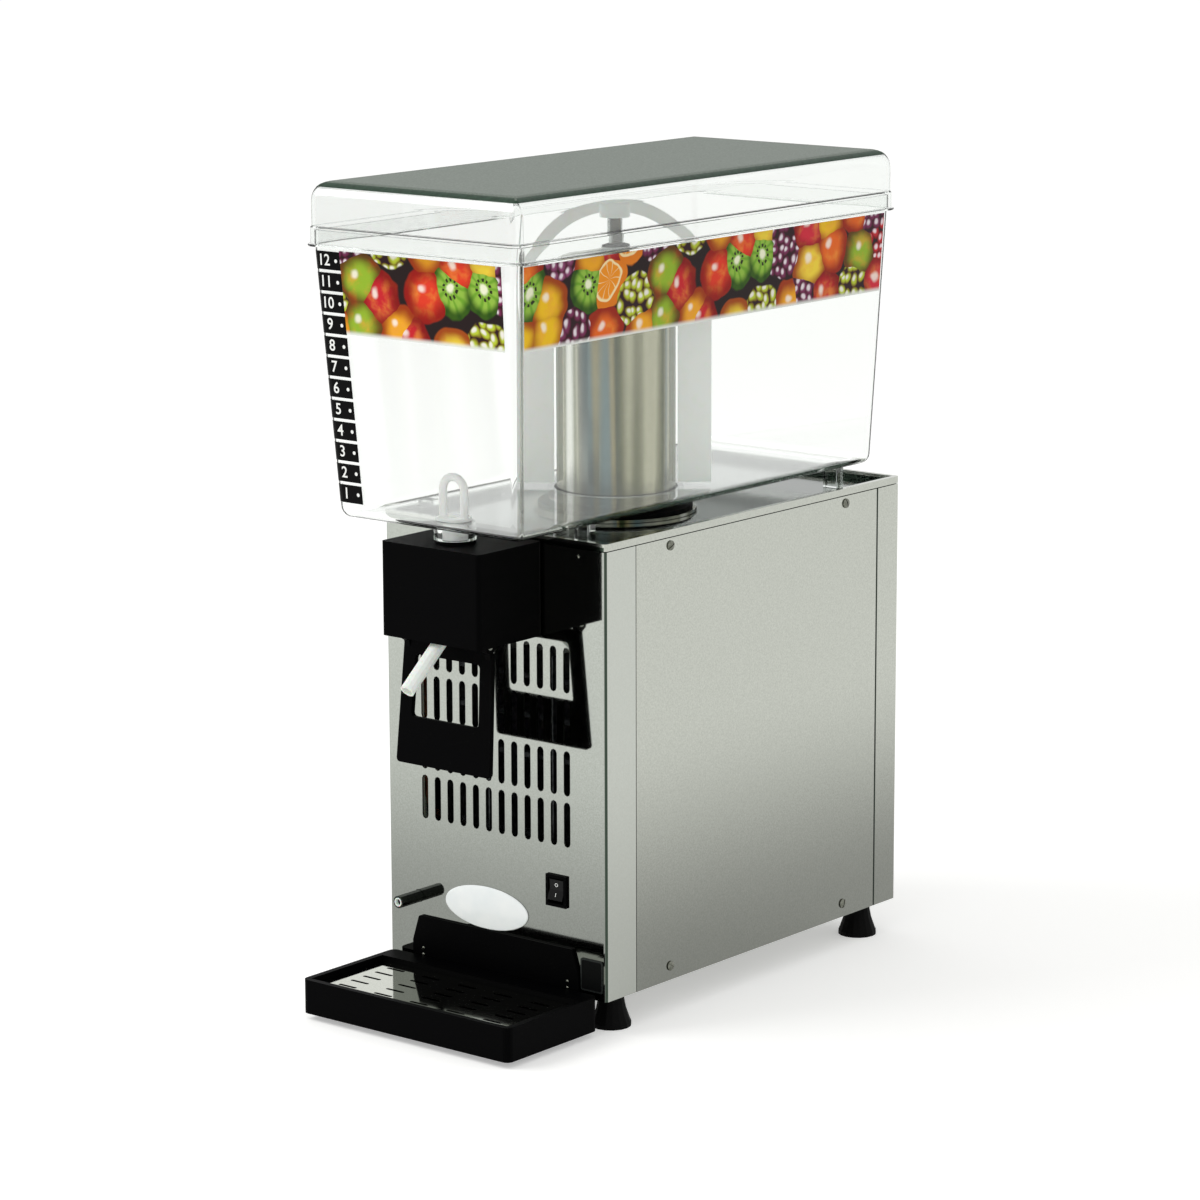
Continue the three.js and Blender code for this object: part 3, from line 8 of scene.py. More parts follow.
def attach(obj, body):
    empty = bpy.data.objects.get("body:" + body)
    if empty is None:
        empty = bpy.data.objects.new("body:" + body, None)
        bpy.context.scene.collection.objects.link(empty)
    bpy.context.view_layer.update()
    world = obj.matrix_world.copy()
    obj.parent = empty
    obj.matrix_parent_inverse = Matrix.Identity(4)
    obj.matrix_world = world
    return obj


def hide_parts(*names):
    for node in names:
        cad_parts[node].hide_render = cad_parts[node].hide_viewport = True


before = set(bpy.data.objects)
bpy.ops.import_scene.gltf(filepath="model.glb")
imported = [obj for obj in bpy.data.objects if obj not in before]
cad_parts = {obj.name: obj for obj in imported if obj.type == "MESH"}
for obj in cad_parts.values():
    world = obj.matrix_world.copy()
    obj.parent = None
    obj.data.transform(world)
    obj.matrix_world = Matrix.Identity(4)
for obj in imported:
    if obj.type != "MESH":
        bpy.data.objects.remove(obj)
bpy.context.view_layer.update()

# Juice dispenser with one bowl: the looks, built round the imported model
# The camera, the floor and the lamp are set out in metres, and the machine in millimetres, which
# MM turns into metres.

MM = 0.001


# Camera
# A long lens, 39 degrees round to the right and nearly 12 degrees up, so the machine shows
# its front, its right side and the top of its lid. The small roll and shift frame the machine.
VIEW_ANGLE = math.radians(39.072)
VIEW_HEIGHT = math.radians(11.587)
VIEW_ROLL = math.radians(-0.186)
VIEW_DISTANCE = 3.21093
VIEW_TARGET = Vector((0.0, 0.04945, 0.341))
VIEW_ASIDE = -0.036936
VIEW_UP = -0.057236
LENS = 126.75
FILM = 36.0
FARTHEST = 100.0

look = Vector((
    -math.sin(VIEW_ANGLE) * math.cos(VIEW_HEIGHT),
    math.cos(VIEW_ANGLE) * math.cos(VIEW_HEIGHT),
    -math.sin(VIEW_HEIGHT),
))
right = Vector((math.cos(VIEW_ANGLE), math.sin(VIEW_ANGLE), 0.0))
up = right.cross(look)
lens = bpy.data.cameras.new("view")
lens.lens = LENS
lens.sensor_width = FILM
lens.clip_end = FARTHEST
camera = bpy.data.objects.new("view", lens)
bpy.context.scene.collection.objects.link(camera)
place = VIEW_TARGET - look * VIEW_DISTANCE + right * VIEW_ASIDE + up * VIEW_UP
turn = Matrix((right, up, -look)).transposed() @ Matrix.Rotation(VIEW_ROLL, 3, "Z")
camera.matrix_world = Matrix.Translation(place) @ turn.to_4x4()
bpy.context.scene.camera = camera
bpy.context.scene.view_settings.view_transform = "Standard"


# Floor and light
# A pale studio floor that runs out to white, an even white surround, and one large soft lamp
# from the front left, which throws the machine's shadow back to the right.
def linear(colour):
    """An sRGB hex colour as linear red, green and blue, with an alpha of one."""
    shares = [int(colour[i:i + 2], 16) / 255 for i in (0, 2, 4)]
    steps = [s / 12.92 if s <= 0.04045 else ((s + 0.055) / 1.055) ** 2.4 for s in shares]
    return (*steps, 1.0)


def node(tree, kind, settings=None, links=None):
    """Adds a shader node. A setting names an input or a property, a link names the input it
    goes to, and stops are the places and colours of a ramp."""
    made = tree.nodes.new(kind)
    for key, value in (settings or {}).items():
        if key == "stops":
            marks = made.color_ramp.elements
            while len(marks) < len(value):
                marks.new(1.0)
            for mark, (position, colour) in zip(marks, value):
                mark.position = position
                mark.color = linear(colour)
        elif isinstance(key, int) or key in made.inputs:
            made.inputs[key].default_value = value
        else:
            setattr(made, key, value)
    for key, source in (links or {}).items():
        tree.links.new(source, made.inputs[key])
    return made


def looked_at(tree):
    """One where the camera looks, be it by way of a mirror or clear plastic, and else nothing."""
    path = node(tree, "ShaderNodeLightPath")
    seen = node(tree, "ShaderNodeMath", {"operation": "MAXIMUM"},
                {0: path.outputs["Is Camera Ray"], 1: path.outputs["Is Glossy Ray"]})
    seen = node(tree, "ShaderNodeMath", {"operation": "MAXIMUM"},
                {0: seen.outputs[0], 1: path.outputs["Is Transmission Ray"]})
    return seen.outputs[0]


FLOOR_SIZE = 120.0
FLOOR_COLOUR = "E9E9E7"
FLOOR_GLOW = 0.36
SURROUND = 0.82
LAMP_SIZE = 1.7
LAMP_POWER = 34.0
LAMP_PLACE = Vector((-1.5, -1.7, 2.3))
LAMP_AIM = Vector((0.0, 0.05, 0.25))

ground = bpy.data.meshes.new("floor")
half = FLOOR_SIZE / 2
ground.from_pydata([(-half, -half, 0), (half, -half, 0), (half, half, 0), (-half, half, 0)], [],
                   [(0, 1, 2, 3)])
floor = bpy.data.objects.new("floor", ground)
bpy.context.scene.collection.objects.link(floor)

paper = bpy.data.materials.new("pale_paper_floor")
paper.use_nodes = True
tree = paper.node_tree
tree.nodes.clear()
glow = node(tree, "ShaderNodeMath", {"operation": "MULTIPLY", 1: FLOOR_GLOW}, {0: looked_at(tree)})
matt = node(tree, "ShaderNodeBsdfDiffuse", {"Color": linear(FLOOR_COLOUR)})
lit = node(tree, "ShaderNodeEmission", {"Color": linear("FFFFFF")}, {"Strength": glow.outputs[0]})
both = node(tree, "ShaderNodeAddShader", {}, {0: matt.outputs[0], 1: lit.outputs[0]})
node(tree, "ShaderNodeOutputMaterial", {}, {"Surface": both.outputs[0]})
ground.materials.append(paper)

world = bpy.data.worlds.new("white_surround")
bpy.context.scene.world = world
world.use_nodes = True
tree = world.node_tree
tree.nodes.clear()
soft = node(tree, "ShaderNodeBackground", {"Color": linear("FFFFFF"), "Strength": SURROUND})
white = node(tree, "ShaderNodeBackground", {"Color": linear("FFFFFF"), "Strength": 1.0})
both = node(tree, "ShaderNodeMixShader", {},
            {0: looked_at(tree), 1: soft.outputs[0], 2: white.outputs[0]})
node(tree, "ShaderNodeOutputWorld", {}, {"Surface": both.outputs[0]})

lamp = bpy.data.lights.new("soft_lamp", "AREA")
lamp.shape = "SQUARE"
lamp.size = LAMP_SIZE
lamp.energy = LAMP_POWER
lamp_holder = bpy.data.objects.new("soft_lamp", lamp)
turn = (LAMP_AIM - LAMP_PLACE).to_track_quat("-Z", "Y")
lamp_holder.matrix_world = Matrix.Translation(LAMP_PLACE) @ turn.to_matrix().to_4x4()
bpy.context.scene.collection.objects.link(lamp_holder)


# Front panel and drip grid
# Mirror-polished stainless sheet: the grille is punched in it and its edges are bent back round
# the sides. The finish mirrors the lever and the tray.
def finish(name, colour, roughness, **sockets):
    """A new material with one Principled shader, as (material, tree, shader)."""
    made = bpy.data.materials.new(name)
    made.use_nodes = True
    shader = made.node_tree.nodes["Principled BSDF"]
    shader.inputs["Base Color"].default_value = linear(colour)
    shader.inputs["Roughness"].default_value = roughness
    for key, value in sockets.items():
        shader.inputs[key.replace("_", " ")].default_value = value
    return made, made.node_tree, shader


def grained(tree, shader, size, stops, bump, depth, stretch=(1.0, 1.0, 1.0), detail=3.0):
    """Colour and bump from one noise on Object coordinates: size is the grain in millimetres.
    Rolled, moulded and plated grain is really finer than that, and is drawn as coarse as it
    needs to be to show."""
    spot = node(tree, "ShaderNodeTexCoord")
    drawn = node(tree, "ShaderNodeMapping", {"Scale": stretch}, {"Vector": spot.outputs["Object"]})
    noise = node(tree, "ShaderNodeTexNoise", {"Scale": 1 / (size * MM), "Detail": detail},
                 {"Vector": drawn.outputs[0]})
    if stops:
        ramp = node(tree, "ShaderNodeValToRGB", {"stops": stops}, {"Fac": noise.outputs["Fac"]})
        tree.links.new(ramp.outputs["Color"], shader.inputs["Base Color"])
    if bump:
        rise = node(tree, "ShaderNodeBump", {"Strength": bump, "Distance": depth * MM},
                    {"Height": noise.outputs["Fac"]})
        tree.links.new(rise.outputs["Normal"], shader.inputs["Normal"])


def even_finish(name, colour, roughness, size, dark, light, bump, depth, **sockets):
    """A new material with an even grain, which runs from a dark to a light colour."""
    made, tree, shader = finish(name, colour, roughness, **sockets)
    grained(tree, shader, size, [(0.3, dark), (0.7, light)], bump, depth)
    return made


def maths(tree, operation, first, second=None):
    """One step of arithmetic on node outputs or numbers."""
    values = {}
    links = {}
    for place, value in enumerate((first, second)):
        if isinstance(value, float):
            values[place] = value
        elif value is not None:
            links[place] = value
    return node(tree, "ShaderNodeMath", {"operation": operation, **values}, links).outputs[0]


def between(tree, value, low, high, start=0.0, end=1.0):
    """A value eased from start at low to end at high."""
    return node(tree, "ShaderNodeMapRange", {"interpolation_type": "SMOOTHSTEP", "From Min": low,
                                             "From Max": high, "To Min": start, "To Max": end},
                {"Value": value}).outputs[0]


def mixed(tree, share, under, over, blend="MIX"):
    """One colour over another."""
    settings = {"data_type": "RGBA", "blend_type": blend}
    links = {}
    for place, value in ((0, share), (6, under), (7, over)):
        if isinstance(value, (float, tuple)):
            settings[place] = value
        else:
            links[place] = value
    return node(tree, "ShaderNodeMix", settings, links).outputs[2]


def tinted(tree, shader, share, colour, blend="MIX"):
    """Lays a colour over the one that a shader has so far."""
    under = shader.inputs["Base Color"].links[0].from_socket
    tree.links.new(mixed(tree, share, under, colour, blend), shader.inputs["Base Color"])


def place_of(tree):
    """X, Y and Z of a point in metres, in the frame of the whole machine."""
    spot = node(tree, "ShaderNodeTexCoord")
    return node(tree, "ShaderNodeSeparateXYZ", {}, {0: spot.outputs["Object"]}).outputs


def duller_below(tree, shader, low, high, least):
    """Painted shade: darkens the colour from a height down to a lower one, in millimetres, where
    only its least share is left."""
    share = between(tree, place_of(tree)["Z"], low * MM, high * MM, least, 1.0)
    grey = node(tree, "ShaderNodeCombineColor", {}, {"Red": share, "Green": share, "Blue": share})
    tinted(tree, shader, 1.0, grey.outputs["Color"], "MULTIPLY")


def dress(made, *names):
    """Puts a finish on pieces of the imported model."""
    for name in names:
        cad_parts[name].material_slots[0].material = made


# Mirror polish: the surround shows sharply, and rolling leaves a slight ripple in it. Its lower
# part is darkened with painted shade, its bent right and left returns are made lighter with painted
# reflection, and the bends themselves are painted dark.
SHADE_FRONT = (60.0, 210.0, 0.6)
BEND_FROM = (103.2, -130.6)
BEND_EASE = 0.5
RETURN_PAINTED_LIGHT = 0.5
RIPPLE_SIZE = 70.0
RIPPLE_DEPTH = 0.4
mirror_steel, tree, shader = finish("mirror_polished_stainless", "A4A8A2", 0.045, Metallic=1.0)
grained(tree, shader, 1.1, [(0.30, "9DA19A"), (0.70, "ACB0AA")], 0.0, 0.0)
duller_below(tree, shader, *SHADE_FRONT)
place = place_of(tree)
returned = between(tree, maths(tree, "ABSOLUTE", place["X"]), BEND_FROM[0] * MM,
                   (BEND_FROM[0] + BEND_EASE) * MM)
bend = between(tree, place["Y"], BEND_FROM[1] * MM, (BEND_FROM[1] + BEND_EASE) * MM, 1.0, 0.0)
bend = maths(tree, "MULTIPLY", returned, bend)
tinted(tree, shader, maths(tree, "MULTIPLY", returned, RETURN_PAINTED_LIGHT), linear("CDD0C9"))
tinted(tree, shader, bend, linear("3B463D"))
grained(tree, shader, RIPPLE_SIZE, None, 0.10, RIPPLE_DEPTH, detail=1.0)
dress(mirror_steel, "front_panel")
# The loose grid is newer and brighter than the panel.
grid_steel = even_finish("polished_stainless_grid", "C6C9BE", 0.06, 1.1, "BEC1B5", "CFD2C8", 0.0,
                         0.0, Metallic=1.0)
dress(grid_steel, "drip_grid")


# Casing
# Side panels, rear panel and deck are folded from bright-annealed stainless sheet and screwed on.
# Like the front they look smooth, but a little duller.
SHADE_SIDE = (40.0, 225.0, 0.48)
side_steel, tree, shader = finish("bright_annealed_stainless", "B8BBB3", 0.14, Metallic=1.0)
grained(tree, shader, 1.3, [(0.28, "B0B3AB"), (0.72, "C1C4BC")], 0.03, 0.02)
# Painted shade darkens the panels towards the bottom.
duller_below(tree, shader, *SHADE_SIDE)
# The rear panel is folded round the sides, and its two cut edges in the seams are darkened with
# painted shade.
SEAM_FROM = 200.5
SEAM_TO = 202.4
SEAM_EASE = 0.2
depth = place_of(tree)["Y"]
seam_shade = maths(tree, "MULTIPLY",
             between(tree, depth, SEAM_FROM * MM, (SEAM_FROM + SEAM_EASE) * MM),
             between(tree, depth, SEAM_TO * MM, (SEAM_TO + SEAM_EASE) * MM, 1.0, 0.0))
tinted(tree, shader, seam_shade, linear("2A332C"))
dress(side_steel, "side_panel_left", "side_panel_right", "rear_panel")
# The trough pressed in the deck is mirror bright, and is darkened all over with painted shade from
# the bowl above it.
TROUGH_TOP = 363.0
TROUGH_HALF = 103.2
TROUGH_EASE = (0.4, 0.8)
deck_steel, tree, shader = finish("bright_deck_steel", "B8BBB3", 0.09, Metallic=1.0)
grained(tree, shader, 1.3, [(0.28, "B0B3AB"), (0.72, "C1C4BC")], 0.03, 0.02)
place = place_of(tree)
trough_shade = between(tree, place["Z"], (TROUGH_TOP - TROUGH_EASE[1]) * MM, TROUGH_TOP * MM, 1.0, 0.0)
inside = between(tree, maths(tree, "ABSOLUTE", place["X"]), TROUGH_HALF * MM,
                 (TROUGH_HALF + TROUGH_EASE[0]) * MM, 1.0, 0.0)
tinted(tree, shader, maths(tree, "MULTIPLY", trough_shade, inside), linear("424E45"))
dress(deck_steel, "top_deck")
# Zinc plating is a dull grey with a faint spangle, on the pan and on the small steel pieces.
zinc_steel, tree, shader = finish("zinc_plated_steel", "A5A69F", 0.38, Metallic=1.0)
grained(tree, shader, 9.0, [(0.25, "92958F"), (0.75, "B4B5AC")], 0.05, 0.05)
dress(zinc_steel, "base_pan", "fan_shroud", "motor_bracket", "pinch_bar", "lever_pin",
      "lever_spring")


# Evaporator drum and drive shaft
# The drum is deep-drawn stainless, polished along its axis. Broad upright streaks of olive, grey
# and a cold blue, light and dark, are painted on it as painted reflections of what stands round it.
# The shaft turns in plastic bushes in it.
REFLECTION_STREAK_WIDTH = 26.0
REFLECTION_STRETCH = (1.0, 1.0, 0.01)
drum_steel, tree, shader = finish("drawn_polished_stainless", "8E9086", 0.2, Metallic=1.0)
grained(tree, shader, REFLECTION_STREAK_WIDTH, [
    (0.33, "DCDDD6"), (0.40, "8D9080"), (0.45, "A9A999"), (0.50, "8A8D84"), (0.545, "5C7274"),
    (0.575, "8A8260"), (0.61, "36422B"), (0.67, "626445"), (0.73, "A8A78F"),
], 0.0, 0.0, REFLECTION_STRETCH, 1.2)
dress(drum_steel, "evaporator_drum")
# Grinding leaves fine rings round the shaft, which dull its shine.
RING_STRETCH = (1.0, 1.0, 4.0)
ground_steel, tree, shader = finish("ground_steel", "A9ADAB", 0.22, Metallic=1.0)
grained(tree, shader, 3.0, [(0.3, "9CA09E"), (0.7, "B7BAB7")], 0.04, 0.02, RING_STRETCH)
dress(ground_steel, "drive_shaft")


# Black mouldings
# Tap housing, lever, tray, tray holder and switch frame are moulded in black ABS. The spark grain
# of the moulds leaves them nearly without shine, so they look deep black.
black_abs = even_finish("black_moulded_abs", "010101", 0.46, 0.8, "010101", "030304", 0.10, 0.03,
                        Specular_IOR_Level=0.02)
dress(black_abs, "tap_housing", "tap_lever", "drip_tray", "tray_holder", "switch_bezel",
      "cord_gland", "terminal_box")
# The rocker is polished where fingers press it, so it mirrors a little more.
black_gloss = even_finish("black_glossy_nylon", "060606", 0.2, 0.5, "040404", "090909", 0.04, 0.01,
                          Specular_IOR_Level=0.14)
dress(black_gloss, "switch_rocker")
# The drain spout is steel tube blackened in hot salts: nearly black, with a metal's sharp glints.
blackened = even_finish("blackened_steel_tube", "161B18", 0.24, 2.5, "0E120F", "20261F", 0.05, 0.03,
                        Metallic=0.8)
dress(blackened, "drain_spout")
# Soft moulded rubber: dull, with no mirror in it.
black_rubber = even_finish("black_moulded_rubber", "060606", 0.6, 1.0, "040404", "0A0A0A", 0.15,
                           0.05, Specular_IOR_Level=0.06)
dress(black_rubber, "foot_front_left", "foot_front_right", "foot_rear_left", "foot_rear_right",
      "drum_gasket", "shaft_seal", "outlet_seal", "compressor_grommet_1", "compressor_grommet_2",
      "compressor_grommet_3", "compressor_grommet_4")


# Cooling set behind the grille
# A compressor in a pressed shell, copper pipes, a finned condenser, a fan and two small motors
# stand on the pan or hang from the deck. Little of them shows through the slots.
# Stove enamel on the compressor is black, with a wet shine.
enamel = even_finish("black_stove_enamel", "0D0D0E", 0.28, 2.0, "0A0A0A", "121214", 0.12, 0.05,
                     Specular_IOR_Level=0.3)
dress(enamel, "compressor")
# Drawn copper is warm and bright, with browner patches from handling.
copper = even_finish("drawn_copper_pipe", "B4704F", 0.3, 12.0, "8C4F36", "C07C59", 0.05, 0.03,
                     Metallic=1.0)
dress(copper, "suction_pipe", "discharge_pipe", "liquid_pipe")
# The fins and the fan are painted a dark grey, as painted shade inside the casing.
shaded_fins = even_finish("shaded_pressed_aluminium", "56595A", 0.5, 4.0, "474A4B", "66696A", 0.05, 0.03,
                   Metallic=1.0)
dress(shaded_fins, "condenser", "fan_blades")
# Phosphating leaves the motors' steel dark grey and matt.
motor_steel = even_finish("dark_phosphated_steel", "4A4C4C", 0.45, 3.0, "3E4040", "565858", 0.08,
                          0.04, Metallic=1.0)
dress(motor_steel, "fan_motor", "agitator_motor")


# Bowl
# Injection-moulded clear polycarbonate, 3 mm thick, on four legs. Its walls lean out to a rim
# with a lip, and its floor has a collar for the drum and a boss for the outlet.
BOWL_LOW = 374.0
BOWL_DEPTH = 198.0
BOWL_TOP = 583.4
BOWL_WALL = 3.0
BOWL_HALF = (85.3, 96.3)
BOWL_FRONT = (-204.75, -216.85)
BOWL_REAR = (222.25, 226.95)
BOWL_CORNER = 7.0
CORNER_LEAST = 1.5
BOWL_FILLET = 8.0
LIP = 5.6
LIP_THICKNESS = 1.6
CORNER_STEPS = 12
FILLET_STEPS = 8
DRUM_Y = 8.45
DRUM_HOLE = 46.6
COLLAR_WALL = 4.6
COLLAR_LOW = 367.1
OUTLET_Y = -173.95
BOSS_RADIUS = 15.5
BOSS_BORE = 9.6
BOSS_LOW = 363.6
LEG_ACROSS = 74.0
LEG_PLACES = (-117.25, 185.75)
LEG_SIZE = (14.0, 9.0)
LEG_CORNER = 1.5
LEG_LOW = 359.3
SOFT_EDGE = 0.5
OVERCUT = 1.0
MERGE_WITHIN = 0.01
DEGENERATE = 0.005
SHARP_FROM = 0.6


def level_ring(z, half, front, rear, corner, steps=CORNER_STEPS):
    """A level rounded rectangle in millimetres, going round from the front right."""
    ring = []
    radius = max(corner, CORNER_LEAST)
    middles = ((half - radius, front + radius), (half - radius, rear - radius),
               (radius - half, rear - radius), (radius - half, front + radius))
    for quarter, (x, y) in enumerate(middles):
        for step in range(steps + 1):
            angle = (quarter - 1 + step / steps) * math.pi / 2
            ring.append((x + radius * math.cos(angle), y + radius * math.sin(angle), z))
    return ring


def round_ring(x, y, z, radius, steps=64):
    """A level circle of points in millimetres."""
    turns = [2 * math.pi * k / steps for k in range(steps)]
    return [(x + radius * math.cos(turn), y + radius * math.sin(turn), z) for turn in turns]


def shown(name, mesh):
    """A new object of a mesh, in the scene."""
    made = bpy.data.objects.new(name, mesh)
    bpy.context.scene.collection.objects.link(made)
    return made


def lofted(name, rings):
    """A closed solid through rings of points in millimetres, lowest ring first."""
    mesh = bpy.data.meshes.new(name)
    count = len(rings[0])
    corners = [tuple(c * MM for c in point) for ring in rings for point in ring]
    faces = [tuple(reversed(range(count)))]
    for k in range(len(rings) - 1):
        for i in range(count):
            a = k * count + i
            b = k * count + (i + 1) % count
            faces.append((a, b, b + count, a + count))
    faces.append(tuple(range((len(rings) - 1) * count, len(rings) * count)))
    mesh.from_pydata(corners, [], faces)
    return shown(name, mesh)


def applied(made):
    """Puts an object's modifiers into its mesh."""
    done = made.evaluated_get(bpy.context.evaluated_depsgraph_get())
    made.data = bpy.data.meshes.new_from_object(done)
    made.modifiers.clear()
    return made


def baked(made, smooth=SHARP_FROM):
    """Applies, merges and turns a mesh outwards. Edges that bend less than the angle are smooth."""
    mesh = applied(made).data
    shape = bmesh.new()
    shape.from_mesh(mesh)
    bmesh.ops.remove_doubles(shape, verts=shape.verts, dist=MERGE_WITHIN * MM)
    bmesh.ops.dissolve_degenerate(shape, edges=shape.edges, dist=DEGENERATE * MM)
    bmesh.ops.recalc_face_normals(shape, faces=shape.faces)
    shape.to_mesh(mesh)
    shape.free()
    mesh.polygons.foreach_set("use_smooth", [True] * len(mesh.polygons))
    mesh.set_sharp_from_angle(angle=smooth)
    weigh = made.modifiers.new("weigh", "WEIGHTED_NORMAL")
    weigh.keep_sharp = True
    return applied(made)


def joined(made, added, cut):
    """Adds and cuts solids with an exact boolean, then removes them."""
    for part, operation in [(p, "UNION") for p in added] + [(p, "DIFFERENCE") for p in cut]:
        step = made.modifiers.new(part.name, "BOOLEAN")
        step.operation = operation
        step.solver = "EXACT"
        step.object = part
    applied(made)
    for part in added + cut:
        bpy.data.objects.remove(part)
    return made


def bowl_at(z, inset=0.0):
    """Half width, front, rear and corner radius of the bowl at a height, all in millimetres."""
    share = (z - BOWL_LOW) / BOWL_DEPTH
    return (BOWL_HALF[0] + (BOWL_HALF[1] - BOWL_HALF[0]) * share - inset,
            BOWL_FRONT[0] + (BOWL_FRONT[1] - BOWL_FRONT[0]) * share + inset,
            BOWL_REAR[0] + (BOWL_REAR[1] - BOWL_REAR[0]) * share - inset,
            BOWL_CORNER - inset)


def bowl_shell(name, low, high, wall):
    """The bowl's outside, or with a wall its inside, as a solid with a rounded foot."""
    fillet = BOWL_FILLET - wall
    rings = []
    for k in range(FILLET_STEPS + 1):
        angle = k / FILLET_STEPS * math.pi / 2
        z = low + fillet * (1 - math.cos(angle))
        half, front, rear, corner = bowl_at(z, wall)
        inset = fillet * (1 - math.sin(angle))
        rings.append(level_ring(z, half - inset, front + inset, rear - inset, corner - inset))
    rim = BOWL_LOW + BOWL_DEPTH
    for z in (rim, high):
        rings.append(level_ring(z, *bowl_at(rim, wall)))
    return lofted(name, rings)


def disc(name, x, y, low, high, radius):
    """An upright round solid, in millimetres."""
    return lofted(name, [round_ring(x, y, low, radius), round_ring(x, y, high, radius)])


rim = BOWL_LOW + BOWL_DEPTH
lip_out = (BOWL_HALF[1] + LIP, BOWL_FRONT[1] - LIP, BOWL_REAR[1] + LIP, BOWL_CORNER + LIP)
lip_in = tuple(v + s * SOFT_EDGE for v, s in zip(lip_out, (-1, 1, -1, -1)))
lip = lofted("lip", [level_ring(rim, *lip_in), level_ring(rim + SOFT_EDGE, *lip_out),
                     level_ring(rim + LIP_THICKNESS - SOFT_EDGE, *lip_out),
                     level_ring(rim + LIP_THICKNESS, *lip_in)])
inside_floor = BOWL_LOW + BOWL_WALL / 2
legs = []
for side in (-1, 1):
    for y in LEG_PLACES:
        x, dx, dy = side * LEG_ACROSS, LEG_SIZE[0] / 2, LEG_SIZE[1] / 2
        leg = [level_ring(z, dx, -dy, dy, LEG_CORNER, steps=3) for z in (LEG_LOW, inside_floor)]
        legs.append(lofted("leg", [[(px + x, py + y, pz) for px, py, pz in ring] for ring in leg]))
bowl = bowl_shell("bowl", BOWL_LOW, BOWL_TOP, 0.0)
joined(
    bowl,
    [lip, disc("collar", 0, DRUM_Y, COLLAR_LOW, inside_floor, DRUM_HOLE + COLLAR_WALL),
     disc("boss", 0, OUTLET_Y, BOSS_LOW, inside_floor, BOSS_RADIUS), *legs],
    [bowl_shell("hollow", BOWL_LOW + BOWL_WALL, BOWL_TOP + OVERCUT, BOWL_WALL),
     disc("drum_hole", 0, DRUM_Y, COLLAR_LOW - OVERCUT, BOWL_LOW + BOWL_WALL + OVERCUT, DRUM_HOLE),
     disc("bore", 0, OUTLET_Y, BOSS_LOW - OVERCUT, BOWL_LOW + BOWL_WALL + OVERCUT, BOSS_BORE)],
)
bowl.name = "clear_bowl"
baked(bowl)

HAZE_SIZE = 38.0
HAZE_FROM = 0.45
HAZE_FULL = 0.75
HAZE_MOST = 0.05


def clear_plastic(name, density):
    """Clear polycarbonate, nearly water-clear through a wall and bottle green along an edge, with
    a faint haze of fine scratches from handling. A higher density tints it more."""
    made, tree, shader = finish(name, "FFFFFF", 0.0, Transmission_Weight=1.0, IOR=1.52)
    spot = node(tree, "ShaderNodeTexCoord")
    haze = node(tree, "ShaderNodeTexNoise", {"Scale": 1 / (HAZE_SIZE * MM), "Detail": 4.0},
                {"Vector": spot.outputs["Object"]})
    haze = node(tree, "ShaderNodeMapRange",
                {"From Min": HAZE_FROM, "From Max": HAZE_FULL, "To Min": 0.0, "To Max": HAZE_MOST},
                {"Value": haze.outputs["Fac"]})
    tree.links.new(haze.outputs[0], shader.inputs["Roughness"])
    tint = node(tree, "ShaderNodeVolumeAbsorption", {"Color": linear("8FB89A"), "Density": density})
    tree.links.new(tint.outputs[0], tree.nodes["Material Output"].inputs["Volume"])
    return made


clear_pc = clear_plastic("clear_polycarbonate", 15.0)
bowl.data.materials.clear()
bowl.data.materials.append(clear_pc)
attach(bowl, "tank")
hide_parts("bowl")


# Lid
# The same clear polycarbonate, 2.2 mm thick, with rounded top edges and a skirt that stands on
# the lip. The mould's grain on its flat top makes that grey-green and dull.
LID_LOW = 573.9
LID_TOP = 618.4
LID_HALF = 99.1
LID_FRONT = -219.65
LID_REAR = 229.75
LID_WALL = 2.2
LID_SKIRT = 11.5
LID_STEP = 1.0
LID_FILLET = 14.0
LID_CORNER = 8.0
TOP_FACES = 0.92
EDGE_FACES = 0.70


def lid_ring(z, inset):
    """A level ring of the lid, drawn in by an inset."""
    return level_ring(z, LID_HALF - inset, LID_FRONT + inset, LID_REAR - inset,
                      LID_CORNER - inset)


def lid_shell(name, low, wall):
    """The lid's outside, or with a wall its inside, as a solid with rounded top edges."""
    fillet = LID_FILLET - wall
    skirt = LID_LOW + LID_SKIRT
    rings = [lid_ring(low, wall), lid_ring(skirt, wall),
             lid_ring(skirt + LID_STEP, LID_STEP + wall)]
    for k in range(FILLET_STEPS + 1):
        angle = k / FILLET_STEPS * math.pi / 2
        drop = fillet * (1 - math.sin(angle))
        inset = fillet * (1 - math.cos(angle))
        rings.append(lid_ring(LID_TOP - wall - drop, LID_STEP + wall + inset))
    return lofted(name, rings)


lid = lid_shell("clear_lid", LID_LOW, 0.0)
joined(lid, [], [lid_shell("lid_hollow", LID_LOW - OVERCUT, LID_WALL)])
baked(lid)
# The top's coarse grain scatters the light, so it is grey-green and dull and nothing shows through.
lid_top, tree, shader = finish("grained_polycarbonate_top", "5C665D", 0.45,
                               Specular_IOR_Level=0.25)
grained(tree, shader, 1.5, [(0.3, "495349"), (0.5, "586358"), (0.72, "697469")], 0.35, 0.12)
# The rounded edge of the top plate is painted dark bottle green, as painted shade along the thick
# plastic's edge.
lid_edge_shade = even_finish("shaded_green_plate_edge", "22382A", 0.35, 3.0, "1A2E20", "2D4535", 0.05, 0.03,
                       Specular_IOR_Level=0.15)
lid.data.materials.clear()
